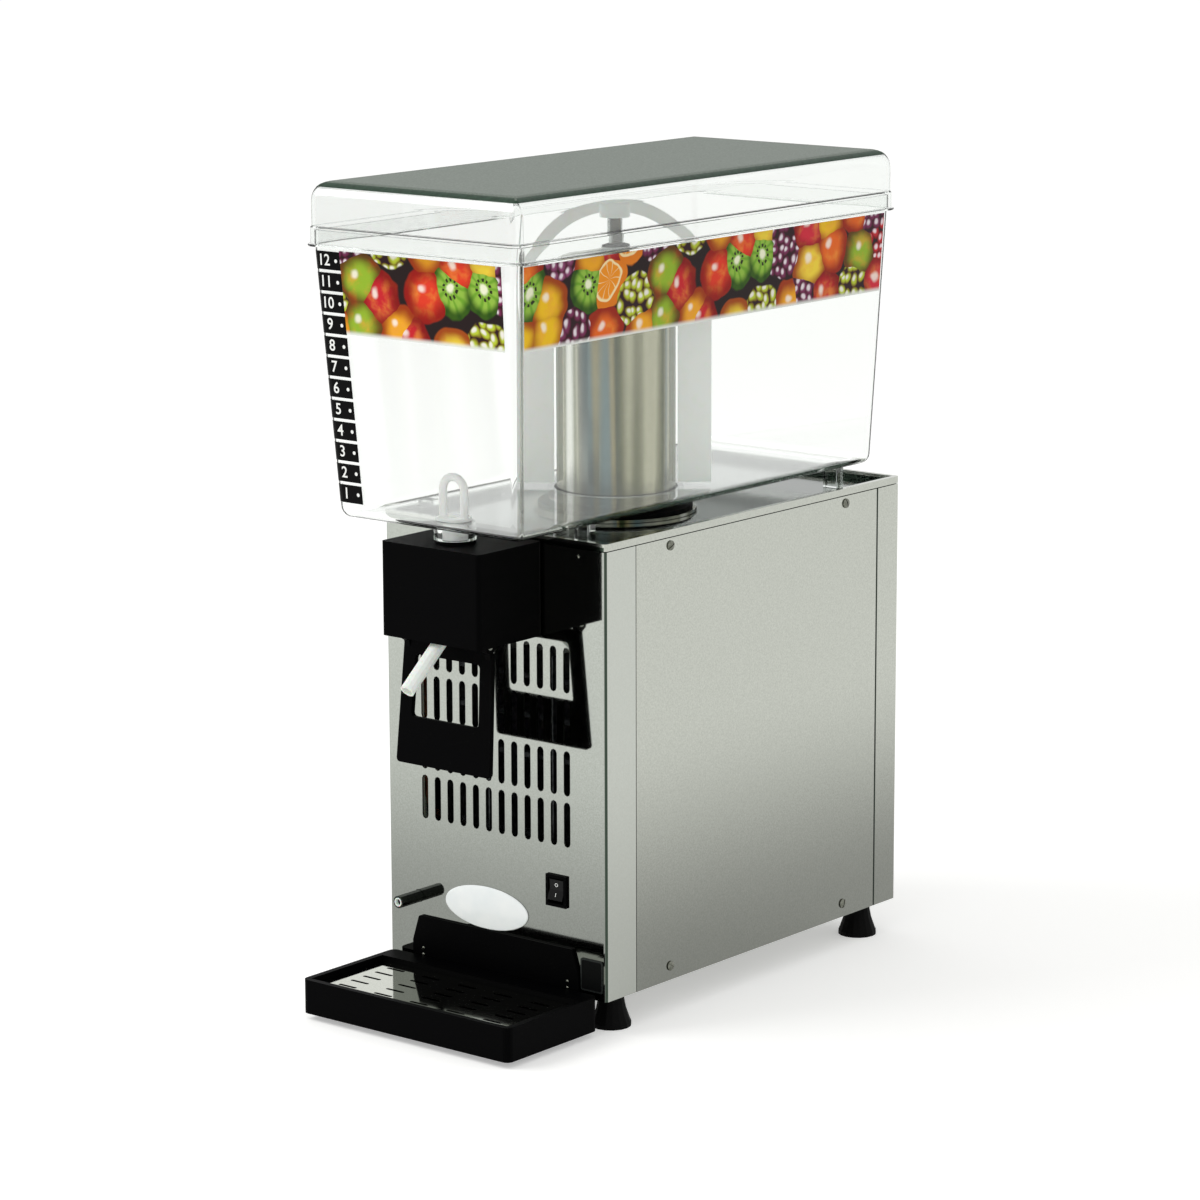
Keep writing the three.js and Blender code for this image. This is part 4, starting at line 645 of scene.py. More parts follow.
# The lid is handled most, and its plastic has greyed a little more than the bowl's.
lid.data.materials.append(clear_plastic("greyed_clear_polycarbonate", 26.0))
lid.data.materials.append(lid_top)
lid.data.materials.append(lid_edge_shade)
for face in lid.data.polygons:
    if face.center.z > (LID_TOP - LID_FILLET) * MM:
        if face.normal.z > TOP_FACES:
            face.material_index = 1
        elif face.normal.z > EDGE_FACES:
            face.material_index = 2
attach(lid, "cover")
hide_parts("lid")


# Agitator
# One flat milky polypropylene arch with a paddle each side of the drum; its hub drops over the
# end of the shaft. Light soaks through it, which the faint glow stands for.
ARCH_EDGE = 0.7
ARCH_FLAT = math.radians(1)
ARCH_SHARP = math.radians(50)
milky_pp = even_finish("milky_polypropylene", "EDF0EC", 0.3, 6.0, "E4E8E3", "F2F4F1", 0.04, 0.05,
                       Transmission_Weight=0.15, IOR=1.49, Subsurface_Weight=0.3,
                       Subsurface_Scale=0.006, Emission_Strength=0.24,
                       Emission_Color=linear("E6EBE6"))
hoop = shown("agitator_arch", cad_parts["agitator_hoop"].data.copy())
shape = bmesh.new()
shape.from_mesh(hoop.data)
bmesh.ops.remove_doubles(shape, verts=shape.verts, dist=MERGE_WITHIN * MM)
bmesh.ops.dissolve_limit(shape, angle_limit=ARCH_FLAT, verts=shape.verts, edges=shape.edges)
shape.to_mesh(hoop.data)
shape.free()
edge = hoop.modifiers.new("soft_edge", "BEVEL")
edge.width = ARCH_EDGE * MM
edge.segments = 2
edge.limit_method = "ANGLE"
edge.angle_limit = ARCH_SHARP
baked(hoop)
hoop.data.materials.clear()
hoop.data.materials.append(milky_pp)
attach(hoop, "agitator")
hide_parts("agitator_hoop")


# Outlet and tube
# A white acetal plug with a loop to pull it out by sits in the boss, and a silicone tube hangs
# from it into the tap.
LOOP_HALF = 10.0
LOOP_ROD = 3.0
LOOP_Z = (378.5, 390.0, 408.7)
LOOP_BEND = 9.5
LOOP_STEPS = 16
ROUND_FROM = 0.8
WELD_WITHIN = 0.0005
PLUG_PROFILE = (
    (5.8, 363.9), (9.3, 363.9), (9.3, 377.3), (12.6, 377.3), (13.0, 377.7), (13.0, 379.3),
    (12.6, 379.7), (4.0, 379.7), (4.0, 374.3), (5.8, 374.3),
)


def lathe(name, profile, x, y, steps=48):
    """A closed ring profile turned round an upright axis, in millimetres."""
    mesh = bpy.data.meshes.new(name)
    count = len(profile)
    corners = []
    for k in range(steps):
        turn = 2 * math.pi * k / steps
        for radius, height in profile:
            corners.append(((x + radius * math.cos(turn)) * MM, (y + radius * math.sin(turn)) * MM,
                            height * MM))
    faces = []
    for k in range(steps):
        for i in range(count):
            a = k * count + i
            b = k * count + (i + 1) % count
            c = ((k + 1) % steps) * count
            faces.append((a, b, c + (i + 1) % count, c + i))
    mesh.from_pydata(corners, [], faces)
    return shown(name, mesh)


def rod(name, points, radius, steps=20):
    """A round rod along a flat upright route that is given as points in millimetres."""
    rings = []
    for i, point in enumerate(points):
        before = Vector(points[max(i - 1, 0)])
        after = Vector(points[min(i + 1, len(points) - 1)])
        side = Vector((0.0, 1.0, 0.0))
        across = (after - before).normalized().cross(side)
        turns = [2 * math.pi * k / steps for k in range(steps)]
        rings.append([tuple(Vector(point) + side * radius * math.cos(turn)
                            + across * radius * math.sin(turn)) for turn in turns])
    return lofted(name, rings)


def merged(name, pieces, material):
    """One object of several meshes in one material, with its normals outwards."""
    shape = bmesh.new()
    for piece in pieces:
        shape.from_mesh(piece.data)
        bpy.data.objects.remove(piece)
    bmesh.ops.remove_doubles(shape, verts=shape.verts, dist=WELD_WITHIN * MM)
    bmesh.ops.recalc_face_normals(shape, faces=shape.faces)
    mesh = bpy.data.meshes.new(name)
    shape.to_mesh(mesh)
    shape.free()
    mesh.materials.append(material)
    return shown(name, mesh)


foot, shoulder, top = LOOP_Z
loop_line = [(-LOOP_HALF, OUTLET_Y, foot), (-LOOP_HALF, OUTLET_Y, shoulder)]
for k in range(LOOP_STEPS + 1):
    turn = math.pi - k * math.pi / LOOP_STEPS
    flat = math.copysign(LOOP_HALF - LOOP_BEND, math.cos(turn))
    loop_line.append((LOOP_BEND * math.cos(turn) + flat, OUTLET_Y,
                      top - LOOP_BEND + LOOP_BEND * math.sin(turn)))
loop_line += [(LOOP_HALF, OUTLET_Y, shoulder), (LOOP_HALF, OUTLET_Y, foot)]
plug = baked(lathe("outlet_plug_body", PLUG_PROFILE, 0.0, OUTLET_Y))
loop = baked(rod("pull_loop", loop_line, LOOP_ROD), ROUND_FROM)
# Acetal is white and close-grained, with a waxy half gloss. A faint glow on it is painted light.
white_pom = even_finish("white_moulded_acetal", "F4F5F3", 0.3, 2.0, "EEF0ED", "F8F9F7", 0.03, 0.02,
                        Subsurface_Weight=0.15, Subsurface_Scale=0.004, Emission_Strength=0.14,
                        Emission_Color=linear("F4F6F4"))
dress(white_pom, "shaft_bush_upper", "shaft_bush_lower", "thermostat")
outlet = merged("outlet_plug", [plug, loop], white_pom)
baked(outlet)
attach(outlet, "outlet")
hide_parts("outlet_fitting")
# Silicone lets some light through and looks milky. A faint glow on it is painted light.
silicone = even_finish("translucent_silicone", "F3F7F3", 0.35, 3.0, "E9EEE8", "F6FAF5", 0.04, 0.03,
                       Transmission_Weight=0.15, IOR=1.41, Subsurface_Weight=0.3,
                       Subsurface_Scale=0.003, Emission_Strength=0.08,
                       Emission_Color=linear("E9F2EA"))
dress(silicone, "spout_tube", "drain_hose")
# A short silicone sleeve ends the drain spout and shows as a pale ring at its mouth.
MOUTH_PROFILE = ((2.5, 0.0), (3.3, 0.0), (3.3, 3.0), (2.5, 3.0))
MOUTH_PLACE = (-76.0, -156.2, 75.6)
bush = lathe("drain_bush_ring", MOUTH_PROFILE, 0.0, 0.0, steps=32)
for corner in bush.data.vertices:
    across, along, out = corner.co
    corner.co = [laid + place * MM for laid, place in zip((across, out, along), MOUTH_PLACE)]
baked(bush)
bush.name = "drain_mouth_bush"
bush.data.materials.append(silicone)
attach(bush, "cabinet")


# Printed fruit bands
# Thin printed vinyl is stuck round the top of the bowl, in front and on the right. Its generic
# print of fruit, slices and bunches on a dark ground fades out along the lower edge.
PRINT_LOW = 510.0
PRINT_TOP = 570.0
PRINT_RIGHT = 81.5
PRINT_GAP = 0.1
PRINT_BACK = 1.0
FILM_UNDER = 0.08
FILM_OVER = 0.24
BAND_COLUMNS = 6
FADE = 4.0
SCALE_LEFT = (-84.0, -93.6)
SCALE_RIGHT = (-60.0, -69.6)
SCALE_Z = (386.0, 569.0)


def slanted(ends, z):
    """The x of an edge of the level scale at a height."""
    share = (z - SCALE_Z[0]) / (SCALE_Z[1] - SCALE_Z[0])
    return ends[0] + (ends[1] - ends[0]) * share


def on_front(x, z, off):
    """A point off millimetres in front of the bowl's front, which turns round its left corner."""
    half, front, _, corner = bowl_at(z)
    past = corner - half - x
    if past <= 0:
        return (x, front - off, z)
    turned = past / corner
    reach = corner + off
    return (corner - half - reach * math.sin(turned), front + corner - reach * math.cos(turned), z)


def on_side(y, z, off):
    """A point off millimetres outside the bowl's right wall."""
    return (bowl_at(z)[0] + off, y, z)


def film(name, spot, edges, low, high, columns):
    """A thin film between two edges on a wall, with its place on the wall as UV in millimetres."""
    mesh = bpy.data.meshes.new(name)
    corners = []
    places = []
    for off in (FILM_UNDER, FILM_OVER):
        for z in (low, high):
            left, far = edges(z)
            for k in range(columns + 1):
                along = left + (far - left) * k / columns
                corners.append(tuple(c * MM for c in spot(along, z, off)))
                places.append((along, z))
    row = columns + 1
    faces = []
    for k in range(columns):
        faces.append((2 * row + k, 2 * row + k + 1, 3 * row + k + 1, 3 * row + k))
        faces.append((k, row + k, row + k + 1, k + 1))
        faces.append((k, k + 1, 2 * row + k + 1, 2 * row + k))
        faces.append((row + k, 3 * row + k, 3 * row + k + 1, row + k + 1))
    faces.append((0, 2 * row, 3 * row, row))
    faces.append((columns, row + columns, 3 * row + columns, 2 * row + columns))
    mesh.from_pydata(corners, [], faces)
    plan = mesh.uv_layers.new(name="print")
    for loop in mesh.loops:
        plan.data[loop.index].uv = places[loop.vertex_index]
    shape = bmesh.new()
    shape.from_mesh(mesh)
    bmesh.ops.recalc_face_normals(shape, faces=shape.faces)
    shape.to_mesh(mesh)
    shape.free()
    return shown(name, mesh)


def cells(tree, spot, size, randomness):
    """Round cells of one size: distance, colour and place of a point from its cell's middle."""
    drawn = node(tree, "ShaderNodeVectorMath", {"operation": "SCALE", "Scale": 1 / size}, {0: spot})
    cell = node(tree, "ShaderNodeTexVoronoi",
                {"voronoi_dimensions": "2D", "Scale": 1.0, "Randomness": randomness},
                {"Vector": drawn.outputs[0]})
    local = node(tree, "ShaderNodeVectorMath", {"operation": "SUBTRACT"},
                 {0: drawn.outputs[0], 1: cell.outputs["Position"]})
    return cell.outputs["Distance"], cell.outputs["Color"], local.outputs[0]


GLINT_CORE = 0.3


def glint(tree, local, across, up, size):
    """A soft highlight on one side of each cell."""
    moved = node(tree, "ShaderNodeVectorMath", {"operation": "SUBTRACT", 1: (across, up, 0.0)},
                 {0: local})
    reach = node(tree, "ShaderNodeVectorMath", {"operation": "LENGTH"}, {0: moved.outputs[0]})
    return between(tree, reach.outputs["Value"], size * GLINT_CORE, size, 1.0, 0.0)


# The print is a glossy film: flat ink colours under a clear coat, dark between the fruit.
# Sizes are in millimetres on the film, and rings and spots are shares of a fruit's own size.
FRUIT_SIZE = 30.0
FRUIT_SPREAD = 0.7
BERRY_SIZE = 8.2
BERRY_SPREAD = 0.6
WAVE_SIZE = 24.0
WAVE_REACH = (12.0, 12.0, 0.0)
BLUSH_SIZE = 12.0
BLUSH = (0.42, 0.72, 0.0, 0.55)
SLICE_FROM = 0.78
BUNCH_FROM = 0.76
KIWI_FROM = 0.5
SLICE_SPOKES = 5.0
FRUIT_SHADE = (0.24, 0.62)
FRUIT_GLINT = (-0.13, 0.15, 0.17)
FRUIT_SHINE = 0.75
PITH_SPOKE = (0.05, 0.22)
PITH_RING = (0.38, 0.43)
PEEL_RING = (0.46, 0.49)
KIWI_RAYS = (0.1, 0.9, 0.0, 0.55)
KIWI_HEART = (0.08, 0.17)
KIWI_SKIN = (0.36, 0.60)
SEED_INNER = (0.17, 0.20)
SEED_OUTER = (0.25, 0.28)
SEED_RAYS = (0.55, 0.80)
BERRY_SHADE = (0.25, 0.60)
BERRY_GLINT = (-0.10, 0.12, 0.36)
BERRY_SHINE = 0.8
BERRY_GAP = (0.54, 0.62)
FRUIT_GAP = (0.66, 0.72)

printed, tree, shader = finish("printed_vinyl_film", "B03A22", 0.24, Specular_IOR_Level=0.12)
flat = node(tree, "ShaderNodeUVMap", {"uv_map": "print"}).outputs["UV"]
wave = node(tree, "ShaderNodeTexNoise", {"Scale": 1 / WAVE_SIZE, "Detail": 2.0}, {"Vector": flat})
wave = node(tree, "ShaderNodeVectorMath", {"operation": "MULTIPLY", 1: WAVE_REACH},
            {0: wave.outputs["Color"]})
plan = node(tree, "ShaderNodeVectorMath", {"operation": "ADD"}, {0: flat, 1: wave.outputs[0]})
plan = plan.outputs[0]
away, kind, local = cells(tree, plan, FRUIT_SIZE, FRUIT_SPREAD)
kind = node(tree, "ShaderNodeSeparateColor", {}, {"Color": kind})
# Each cell is a whole fruit, a slice or a bunch of berries, and its own random colour says which.
skin = node(tree, "ShaderNodeValToRGB", {"stops": [
    (0.0, "C9202A"), (0.14, "F2C21A"), (0.30, "E8681C"), (0.44, "D3283C"), (0.56, "F4D540"),
    (0.68, "93B52C"), (0.78, "E23B22"), (0.89, "F0A820")]}, {"Fac": kind.outputs["Red"]})
skin.color_ramp.interpolation = "CONSTANT"
blush = node(tree, "ShaderNodeTexNoise", {"Scale": 1 / BLUSH_SIZE, "Detail": 3.0}, {"Vector": plan})
fruit = mixed(tree, between(tree, blush.outputs["Fac"], *BLUSH), skin.outputs["Color"],
              linear("F0A03C"))
fruit = mixed(tree, between(tree, away, *FRUIT_SHADE), fruit, linear("A85846"), "MULTIPLY")
shine = maths(tree, "MULTIPLY", glint(tree, local, *FRUIT_GLINT), FRUIT_SHINE)
fruit = mixed(tree, shine, fruit, linear("FFF8EC"))
spokes = node(tree, "ShaderNodeSeparateXYZ", {}, {0: local})
spokes = maths(tree, "ARCTAN2", spokes.outputs["Y"], spokes.outputs["X"])
spokes = maths(tree, "ABSOLUTE", maths(tree, "SINE", maths(tree, "MULTIPLY", spokes, SLICE_SPOKES)))
pith = maths(tree, "MAXIMUM", between(tree, spokes, *PITH_SPOKE, 1.0, 0.0),
             between(tree, away, *PITH_RING))
orange = mixed(tree, pith, linear("F0921E"), linear("FAE3AC"))
orange = mixed(tree, between(tree, away, *PEEL_RING), orange, linear("E27C14"))
kiwi = mixed(tree, between(tree, spokes, *KIWI_RAYS), linear("6FA32A"), linear("A9CE52"))
kiwi = mixed(tree, between(tree, away, *KIWI_HEART, 1.0, 0.0), kiwi, linear("F1F3D2"))
seeds = maths(tree, "MULTIPLY", between(tree, away, *SEED_INNER),
              between(tree, away, *SEED_OUTER, 1.0, 0.0))
seeds = maths(tree, "MULTIPLY", seeds, between(tree, spokes, *SEED_RAYS))
kiwi = mixed(tree, seeds, kiwi, linear("26280F"))
kiwi = mixed(tree, between(tree, away, *KIWI_SKIN), kiwi, linear("5F7A2C"), "MULTIPLY")
slices = mixed(tree, maths(tree, "GREATER_THAN", kind.outputs["Red"], KIWI_FROM), orange, kiwi)
fruit = mixed(tree, maths(tree, "GREATER_THAN", kind.outputs["Green"], SLICE_FROM), fruit, slices)
near, _, berry_place = cells(tree, plan, BERRY_SIZE, BERRY_SPREAD)
berry = node(tree, "ShaderNodeValToRGB", {"stops": [
    (0.0, "7A2B55"), (0.36, "BCCB34"), (0.62, "C4202C"), (0.82, "8E4470")]},
    {"Fac": kind.outputs["Red"]})
berry.color_ramp.interpolation = "CONSTANT"
berry = mixed(tree, between(tree, near, *BERRY_SHADE), berry.outputs["Color"], linear("8A5A5E"),
              "MULTIPLY")
shine = maths(tree, "MULTIPLY", glint(tree, berry_place, *BERRY_GLINT), BERRY_SHINE)
berry = mixed(tree, shine, berry, linear("FCF4F8"))
berry = mixed(tree, between(tree, near, *BERRY_GAP), berry, linear("2A0E16"))
picture = mixed(tree, maths(tree, "GREATER_THAN", kind.outputs["Blue"], BUNCH_FROM), fruit, berry)
picture = mixed(tree, between(tree, away, *FRUIT_GAP), picture, linear("1E0E0E"))
height = node(tree, "ShaderNodeSeparateXYZ", {}, {0: flat}).outputs["Y"]
picture = mixed(tree, between(tree, height, PRINT_LOW, PRINT_LOW + FADE, 1.0, 0.0), picture,
                linear("E9ECE6"))
tree.links.new(picture, shader.inputs["Base Color"])


def front_edges(z):
    """The front band's ends: just past the level scale, and short of the bowl's right corner."""
    return slanted(SCALE_RIGHT, z) + PRINT_GAP, PRINT_RIGHT


def side_edges(z):
    """The side band's ends, at the bowl's front and rear corners."""
    _, front, rear, _ = bowl_at(z)
    return front + BOWL_CORNER, rear - BOWL_CORNER - PRINT_BACK


front_print = film("front_fruit_band", on_front, front_edges, PRINT_LOW, PRINT_TOP, BAND_COLUMNS)
side_print = film("side_fruit_band", on_side, side_edges, PRINT_LOW, PRINT_TOP, BAND_COLUMNS)
for band in (front_print, side_print):
    band.data.materials.append(printed)
    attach(band, "tank")


# Level scale
# Twelve labels are screen-printed in black up the bowl's front left corner, one for each litre,
# with a white numeral and a white dot.
LITRES = 12
LABEL_SHARE = 0.86
NUMERAL_SIZE = 11.6
NUMERAL_WEIGHT = 0.12
NUMERAL_AT = 0.37
DOT_AT = 0.84
DOT_RADIUS = 1.35
DOT_STEPS = 16
LABEL_COLUMNS = 10
INK_OVER = 0.30
INK_THICKNESS = 0.05


def lettered(name, text, size, spot, weight):
    """A flat text as a mesh: spot turns its across, up and out in millimetres into a place."""
    words = bpy.data.curves.new(name, "FONT")
    words.body = text
    words.size = size
    words.align_x = "CENTER"
    words.align_y = "CENTER"
    words.offset = weight
    words.extrude = INK_THICKNESS
    words.resolution_u = 4
    holder = shown(name, words)
    done = holder.evaluated_get(bpy.context.evaluated_depsgraph_get())
    mesh = bpy.data.meshes.new_from_object(done)
    bpy.data.objects.remove(holder)
    for corner in mesh.vertices:
        corner.co = Vector(spot(*corner.co)) * MM
    return shown(name, mesh)


# Printing inks are flat and dull, with the slight mottle of the screen.
black_ink = even_finish("black_screen_print", "020203", 0.4, 1.2, "020202", "050506", 0.03, 0.01,
                        Specular_IOR_Level=0.05)
white_ink = even_finish("white_screen_print", "F4F5F2", 0.4, 1.2, "ECEEEA", "FAFBF8", 0.03, 0.01)
labels = []
marks = []
pitch = (SCALE_Z[1] - SCALE_Z[0]) / (LITRES - 1 + LABEL_SHARE)
for litre in range(1, LITRES + 1):
    low = SCALE_Z[0] + (litre - 1) * pitch
    high = low + LABEL_SHARE * pitch
    middle = (low + high) / 2
    left, far = slanted(SCALE_LEFT, middle), slanted(SCALE_RIGHT, middle)
    labels.append(film("litre_label", on_front,
                       lambda z: (slanted(SCALE_LEFT, z), slanted(SCALE_RIGHT, z)),
                       low, high, LABEL_COLUMNS))
    across = left + (far - left) * NUMERAL_AT
    marks.append(lettered("numeral", str(litre), NUMERAL_SIZE,
                          lambda x, y, out: on_front(across + x, middle + y, INK_OVER + out),
                          NUMERAL_WEIGHT))
    across_dot = left + (far - left) * DOT_AT
    turns = [2 * math.pi * k / DOT_STEPS for k in range(DOT_STEPS)]
    rings = [[on_front(across_dot + DOT_RADIUS * math.cos(turn),
                       middle + DOT_RADIUS * math.sin(turn), off) for turn in turns]
             for off in (INK_OVER - INK_THICKNESS, INK_OVER + INK_THICKNESS)]
    marks.append(lofted("dot", rings))
scale_labels = merged("level_scale_labels", labels, black_ink)
scale_marks = merged("level_scale_numerals", marks, white_ink)
for part in (scale_labels, scale_marks):
    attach(part, "tank")


# Facings of two folded returns
# The front panel's left return and the rear panel's right one are packed with an outer face that
# slants in to the cut edge. A thin wedge of the same steel on each brings it out flush.
CASING_Z = (26.0, 359.0)
CASING_SIDE = 105.0
RETURN_INSIDE = 103.8
PLATE_SHARP = 0.5
RETURN_FACINGS = (("rear_return_facing", 1, 201.25, 228.15, side_steel, "casing_steel"),
                  ("front_return_facing", -1, -97.75, -129.65, mirror_steel, "polished_steel"))

for name, side, cut, bend, steel, kept_slot in RETURN_FACINGS:
    outline = [(side * RETURN_INSIDE, cut), (side * CASING_SIDE, cut), (side * CASING_SIDE, bend)]
    facing = baked(lofted(name, [[(x, y, z) for x, y in outline] for z in CASING_Z]), PLATE_SHARP)
    facing.data.materials.append(steel)
    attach(facing, "cabinet")


# Blank badge and label plate
# The front carries an oval enamelled badge plate, slightly domed, and low on the right a small
# black plate with a thin light frame. Both are left blank.
PANEL_FRONT = -132.25
BADGE_X = -8.8
BADGE_Z = 77.9
BADGE_HALF = (40.0, 16.1)
BADGE_STEPS = 96
BADGE_PROFILE = ((1.0, 0.1), (1.0, 0.7), (0.985, 1.0), (0.955, 1.15), (0.8, 1.5), (0.55, 1.85),
                 (0.3, 2.05), (0.08, 2.1))
BADGE_SHARP = 0.9
PLATE_X = (81.2, 102.0)
PLATE_Z = (32.0, 56.2)
PLATE_FRAME = 1.2
PLATE_CORNERS = (1.2, 0.3)
PLATE_OUT = (0.1, 0.9)
RECESS_OUT = (0.7, 2.0)
FRAME_OUT = 0.85

turns = [2 * math.pi * k / BADGE_STEPS for k in range(BADGE_STEPS)]
rings = [[(BADGE_X + BADGE_HALF[0] * share * math.cos(turn), PANEL_FRONT - out,
           BADGE_Z + BADGE_HALF[1] * share * math.sin(turn)) for turn in turns]
         for share, out in BADGE_PROFILE]
badge = baked(lofted("blank_oval_badge", rings), BADGE_SHARP)
# White enamel fired on aluminium: a clean, faintly cool white with a soft gloss.
enamel_white = even_finish("white_fired_enamel", "F4F8F8", 0.24, 14.0, "F1F6F6", "F8FBFA", 0.0, 0.0,
                           Coat_Weight=0.2)
badge.data.materials.append(enamel_white)
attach(badge, "cabinet")


def upright_plate(name, inset, depths):
    """A flat upright plate on the front panel, between two depths, drawn in by an inset."""
    left, far = PLATE_X[0] + inset, PLATE_X[1] - inset
    low, high = PLATE_Z[0] + inset, PLATE_Z[1] - inset
    radius = max(PLATE_CORNERS[0] - inset, PLATE_CORNERS[1])
    middle, across = (left + far) / 2, (far - left) / 2
    flat = level_ring(0.0, across, low, high, radius, steps=4)
    rings = [[(x + middle, PANEL_FRONT - out, z) for x, z, _ in flat] for out in depths]
    return lofted(name, rings)


plate = joined(upright_plate("blank_label_plate", 0.0, PLATE_OUT), [],
               [upright_plate("recess", PLATE_FRAME, RECESS_OUT)])
baked(plate, PLATE_SHARP)
# Black anodised aluminium, with the bare metal of its raised frame rubbed a little lighter.
anodised = even_finish("black_anodised_aluminium", "040505", 0.4, 0.9, "030404", "080909", 0.05,
                       0.02, Specular_IOR_Level=0.06)
plate.data.materials.append(anodised)
rubbed = even_finish("rubbed_anodised_frame", "1E2221", 0.4, 1.5, "161918", "2A2E2D", 0.05, 0.02,
                     Metallic=0.6)
plate.data.materials.append(rubbed)
for face in plate.data.polygons:
    if face.center.y < (PANEL_FRONT - FRAME_OUT) * MM:
        face.material_index = 1
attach(plate, "cabinet")


# Switch marks
# O and I are printed in white on the two faces of the rocker, which is moulded in one piece and
# snaps into its frame.
ROCKER_X = 59.0
ROCKER_PIVOT = (-129.25, 102.7)
ROCKER_REST = math.radians(8)
ROCKER_FACES = (("O", 3.6, 3.9), ("I", -3.8, 3.9))
FACE_MIDDLE = -4.0
FACE_REACH = 9.2
FACE_TURN = math.radians(125)
MARK_OFF = 0.09
MARK_WEIGHT = 0.02


def on_rocker(across, up, out):
    """A place on the rocker's front, which is two flats that meet at its middle."""
    edge = Vector((FACE_REACH * math.cos(FACE_TURN),
                   math.copysign(FACE_REACH * math.sin(FACE_TURN), up)))
    start = Vector((FACE_MIDDLE, 0.0))
    along = (edge - start).normalized()
    normal = Vector((-abs(along.y), math.copysign(along.x, up)))
    spot = start + along * abs(up) + normal * out
    turned = Matrix.Rotation(-ROCKER_REST, 2) @ spot
    return (ROCKER_X + across, ROCKER_PIVOT[0] + turned.x, ROCKER_PIVOT[1] + turned.y)


switch_marks = []
for text, up, size in ROCKER_FACES:
    switch_marks.append(lettered("mark", text, size,
                                 lambda x, y, out: on_rocker(x, up + y, MARK_OFF + out),
                                 MARK_WEIGHT))
switch_print = merged("switch_marks", switch_marks, white_ink)
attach(switch_print, "rocker")


# Screws and rivets
# Slotted pan-head screws of plated steel hold the side panels, four a side. Small rivets with
# round heads fix the tray's holder and sit in the panel by the label plate and the tap.
SCREW_RADIUS = 3.7
SCREW_HEIGHT = 1.9
SCREW_PROFILE = ((0.94, 0.05), (1.0, 0.35), (1.0, 0.7), (0.94, 1.15), (0.8, 1.5), (0.5, 1.8),
                 (0.15, SCREW_HEIGHT))
SCREW_STEPS = 28
SLOT_WIDTH = 0.9
SLOT_DEPTH = 0.9
SLOT_LENGTH_SHARE = 1.2
SCREW_SIDE = 105.0
SCREW_PLACES = ((-57.25, 353.4), (159.75, 353.4), (-57.25, 36.8), (159.75, 36.8))
SLOT_TURNS = (0.5, 1.9, 2.6, 1.2, 0.9, 2.2, 0.2, 1.6)
RIVET_RADIUS = 1.25
RIVET_PROFILE = ((1.0, 0.02), (1.0, 0.15), (0.9, 0.4), (0.6, 0.6), (0.15, 0.7))
RIVET_STEPS = 14
HOLDER_FRONT = -134.55
RIVET_PLACES = ((-70.0, 36.5), (-70.0, 31.5), (70.0, 36.5), (70.0, 31.5))
PANEL_RIVETS = ((92.0, 27.9), (80.0, 353.5))


def turned_head(name, radius, profile, steps):
    """A round head that stands along +X, from a profile of shares of its radius and heights."""
    turns = [2 * math.pi * k / steps for k in range(steps)]
    return lofted(name, [[(height, radius * share * math.cos(turn), radius * share * math.sin(turn))
                          for turn in turns] for share, height in profile])


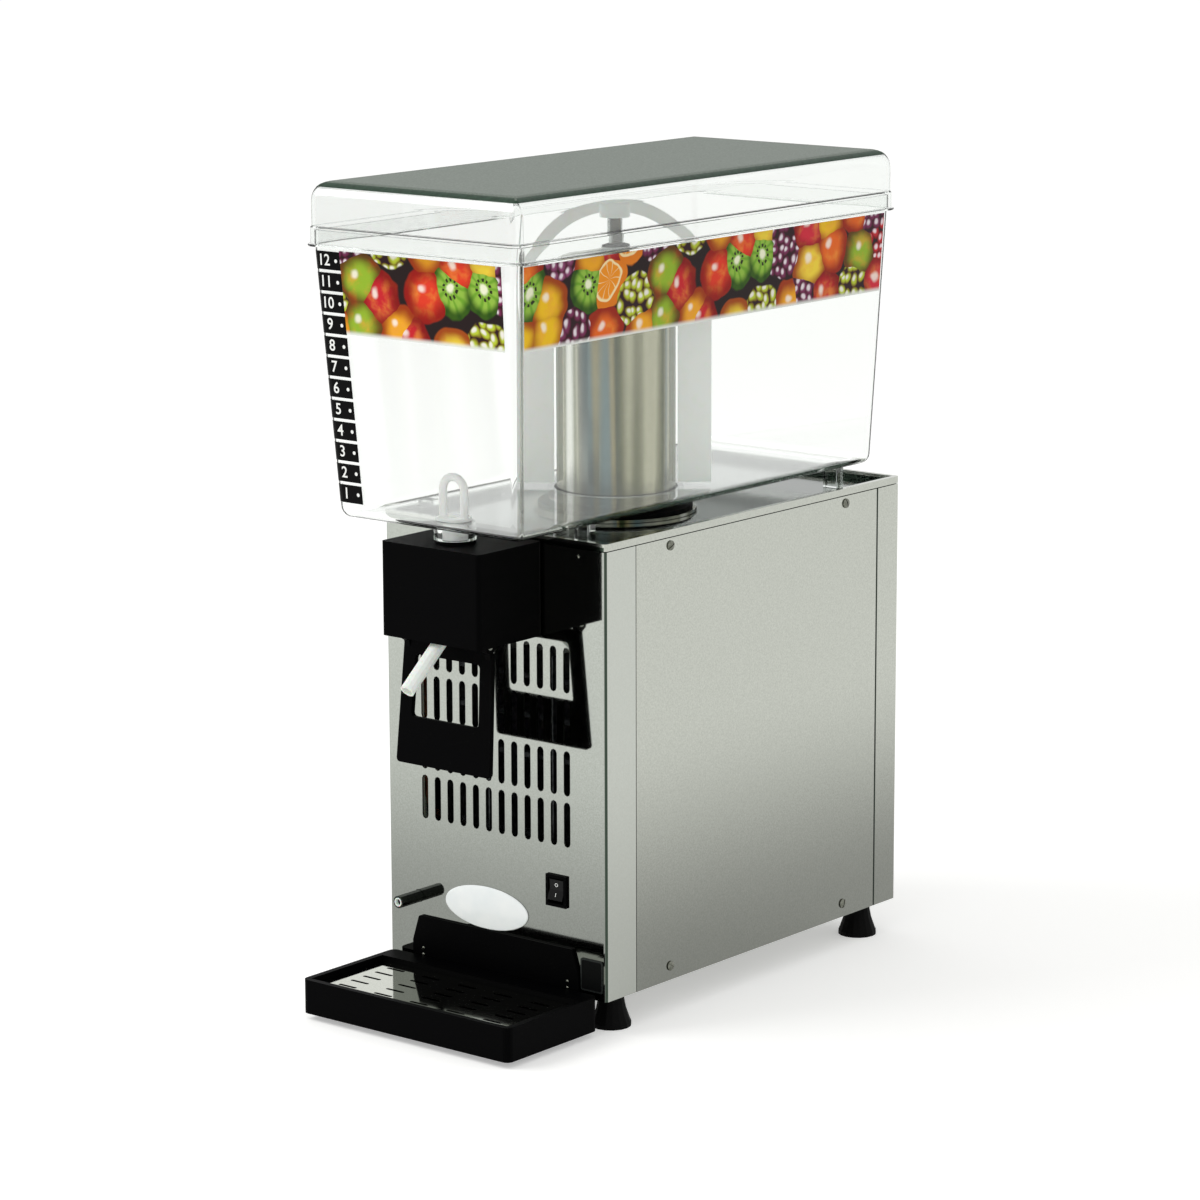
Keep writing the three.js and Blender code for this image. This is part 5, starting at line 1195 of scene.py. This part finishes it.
def repeated(name, part, places, turns, material):
    """Geometry Nodes put one part at each place, turned as given, as one mesh."""
    mesh = bpy.data.meshes.new(name)
    mesh.from_pydata([tuple(c * MM for c in place) for place in places], [], [])
    turn = mesh.attributes.new("turn", "FLOAT_VECTOR", "POINT")
    for mark, angles in zip(turn.data, turns):
        mark.vector = angles
    holder = shown(name, mesh)
    group = bpy.data.node_groups.new("part_at_each_place", "GeometryNodeTree")
    group.interface.new_socket("Places", in_out="INPUT", socket_type="NodeSocketGeometry")
    part_socket = group.interface.new_socket("Part", in_out="INPUT", socket_type="NodeSocketObject")
    finish_socket = group.interface.new_socket("Finish", in_out="INPUT",
                                               socket_type="NodeSocketMaterial")
    group.interface.new_socket("Parts", in_out="OUTPUT", socket_type="NodeSocketGeometry")
    given = group.nodes.new("NodeGroupInput")
    shape = node(group, "GeometryNodeObjectInfo", {}, {"Object": given.outputs["Part"]})
    angles = node(group, "GeometryNodeInputNamedAttribute",
                  {"data_type": "FLOAT_VECTOR", "Name": "turn"})
    stood = node(group, "GeometryNodeInstanceOnPoints", {},
                 {"Points": given.outputs["Places"], "Instance": shape.outputs["Geometry"],
                  "Rotation": angles.outputs["Attribute"]})
    real = node(group, "GeometryNodeRealizeInstances", {}, {"Geometry": stood.outputs["Instances"]})
    dressed = node(group, "GeometryNodeSetMaterial", {},
                   {"Geometry": real.outputs["Geometry"], "Material": given.outputs["Finish"]})
    node(group, "NodeGroupOutput", {}, {"Parts": dressed.outputs["Geometry"]})
    step = holder.modifiers.new("repeat", "NODES")
    step.node_group = group
    step[part_socket.identifier] = part
    step[finish_socket.identifier] = material
    applied(holder)
    bpy.data.objects.remove(part)
    return holder


screw = turned_head("screw", SCREW_RADIUS, SCREW_PROFILE, SCREW_STEPS)
slot_half, slot_reach = SLOT_WIDTH / 2, SCREW_RADIUS * SLOT_LENGTH_SHARE
slot = lofted("slot", [[(height, -slot_reach, -slot_half), (height, slot_reach, -slot_half),
                        (height, slot_reach, slot_half), (height, -slot_reach, slot_half)]
                       for height in (SCREW_HEIGHT - SLOT_DEPTH, SCREW_HEIGHT + OVERCUT)])
joined(screw, [], [slot])
baked(screw)
places = [(side * SCREW_SIDE, y, z) for side in (1, -1) for y, z in SCREW_PLACES]
turns = [(angle, 0.0, 0.0 if k < len(SCREW_PLACES) else math.pi)
         for k, angle in enumerate(SLOT_TURNS)]
# The screw heads are painted darker than fresh zinc: painted reflection of the dark they mirror.
dark_screw_steel = even_finish("darkened_screw_steel", "74766C", 0.25, 1.6, "5E6056", "85877D", 0.06,
                          0.03, Metallic=1.0)
screws = repeated("side_screws", screw, places, turns, dark_screw_steel)
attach(screws, "cabinet")
rivet = turned_head("rivet", RIVET_RADIUS, RIVET_PROFILE, RIVET_STEPS)
baked(rivet, ROUND_FROM)
places = [(x, HOLDER_FRONT, z) for x, z in RIVET_PLACES]
places += [(x, PANEL_FRONT, z) for x, z in PANEL_RIVETS]
turns = [(0.0, 0.0, -math.pi / 2)] * len(places)
rivets = repeated("holder_rivets", rivet, places, turns, dark_screw_steel)
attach(rivets, "cabinet")
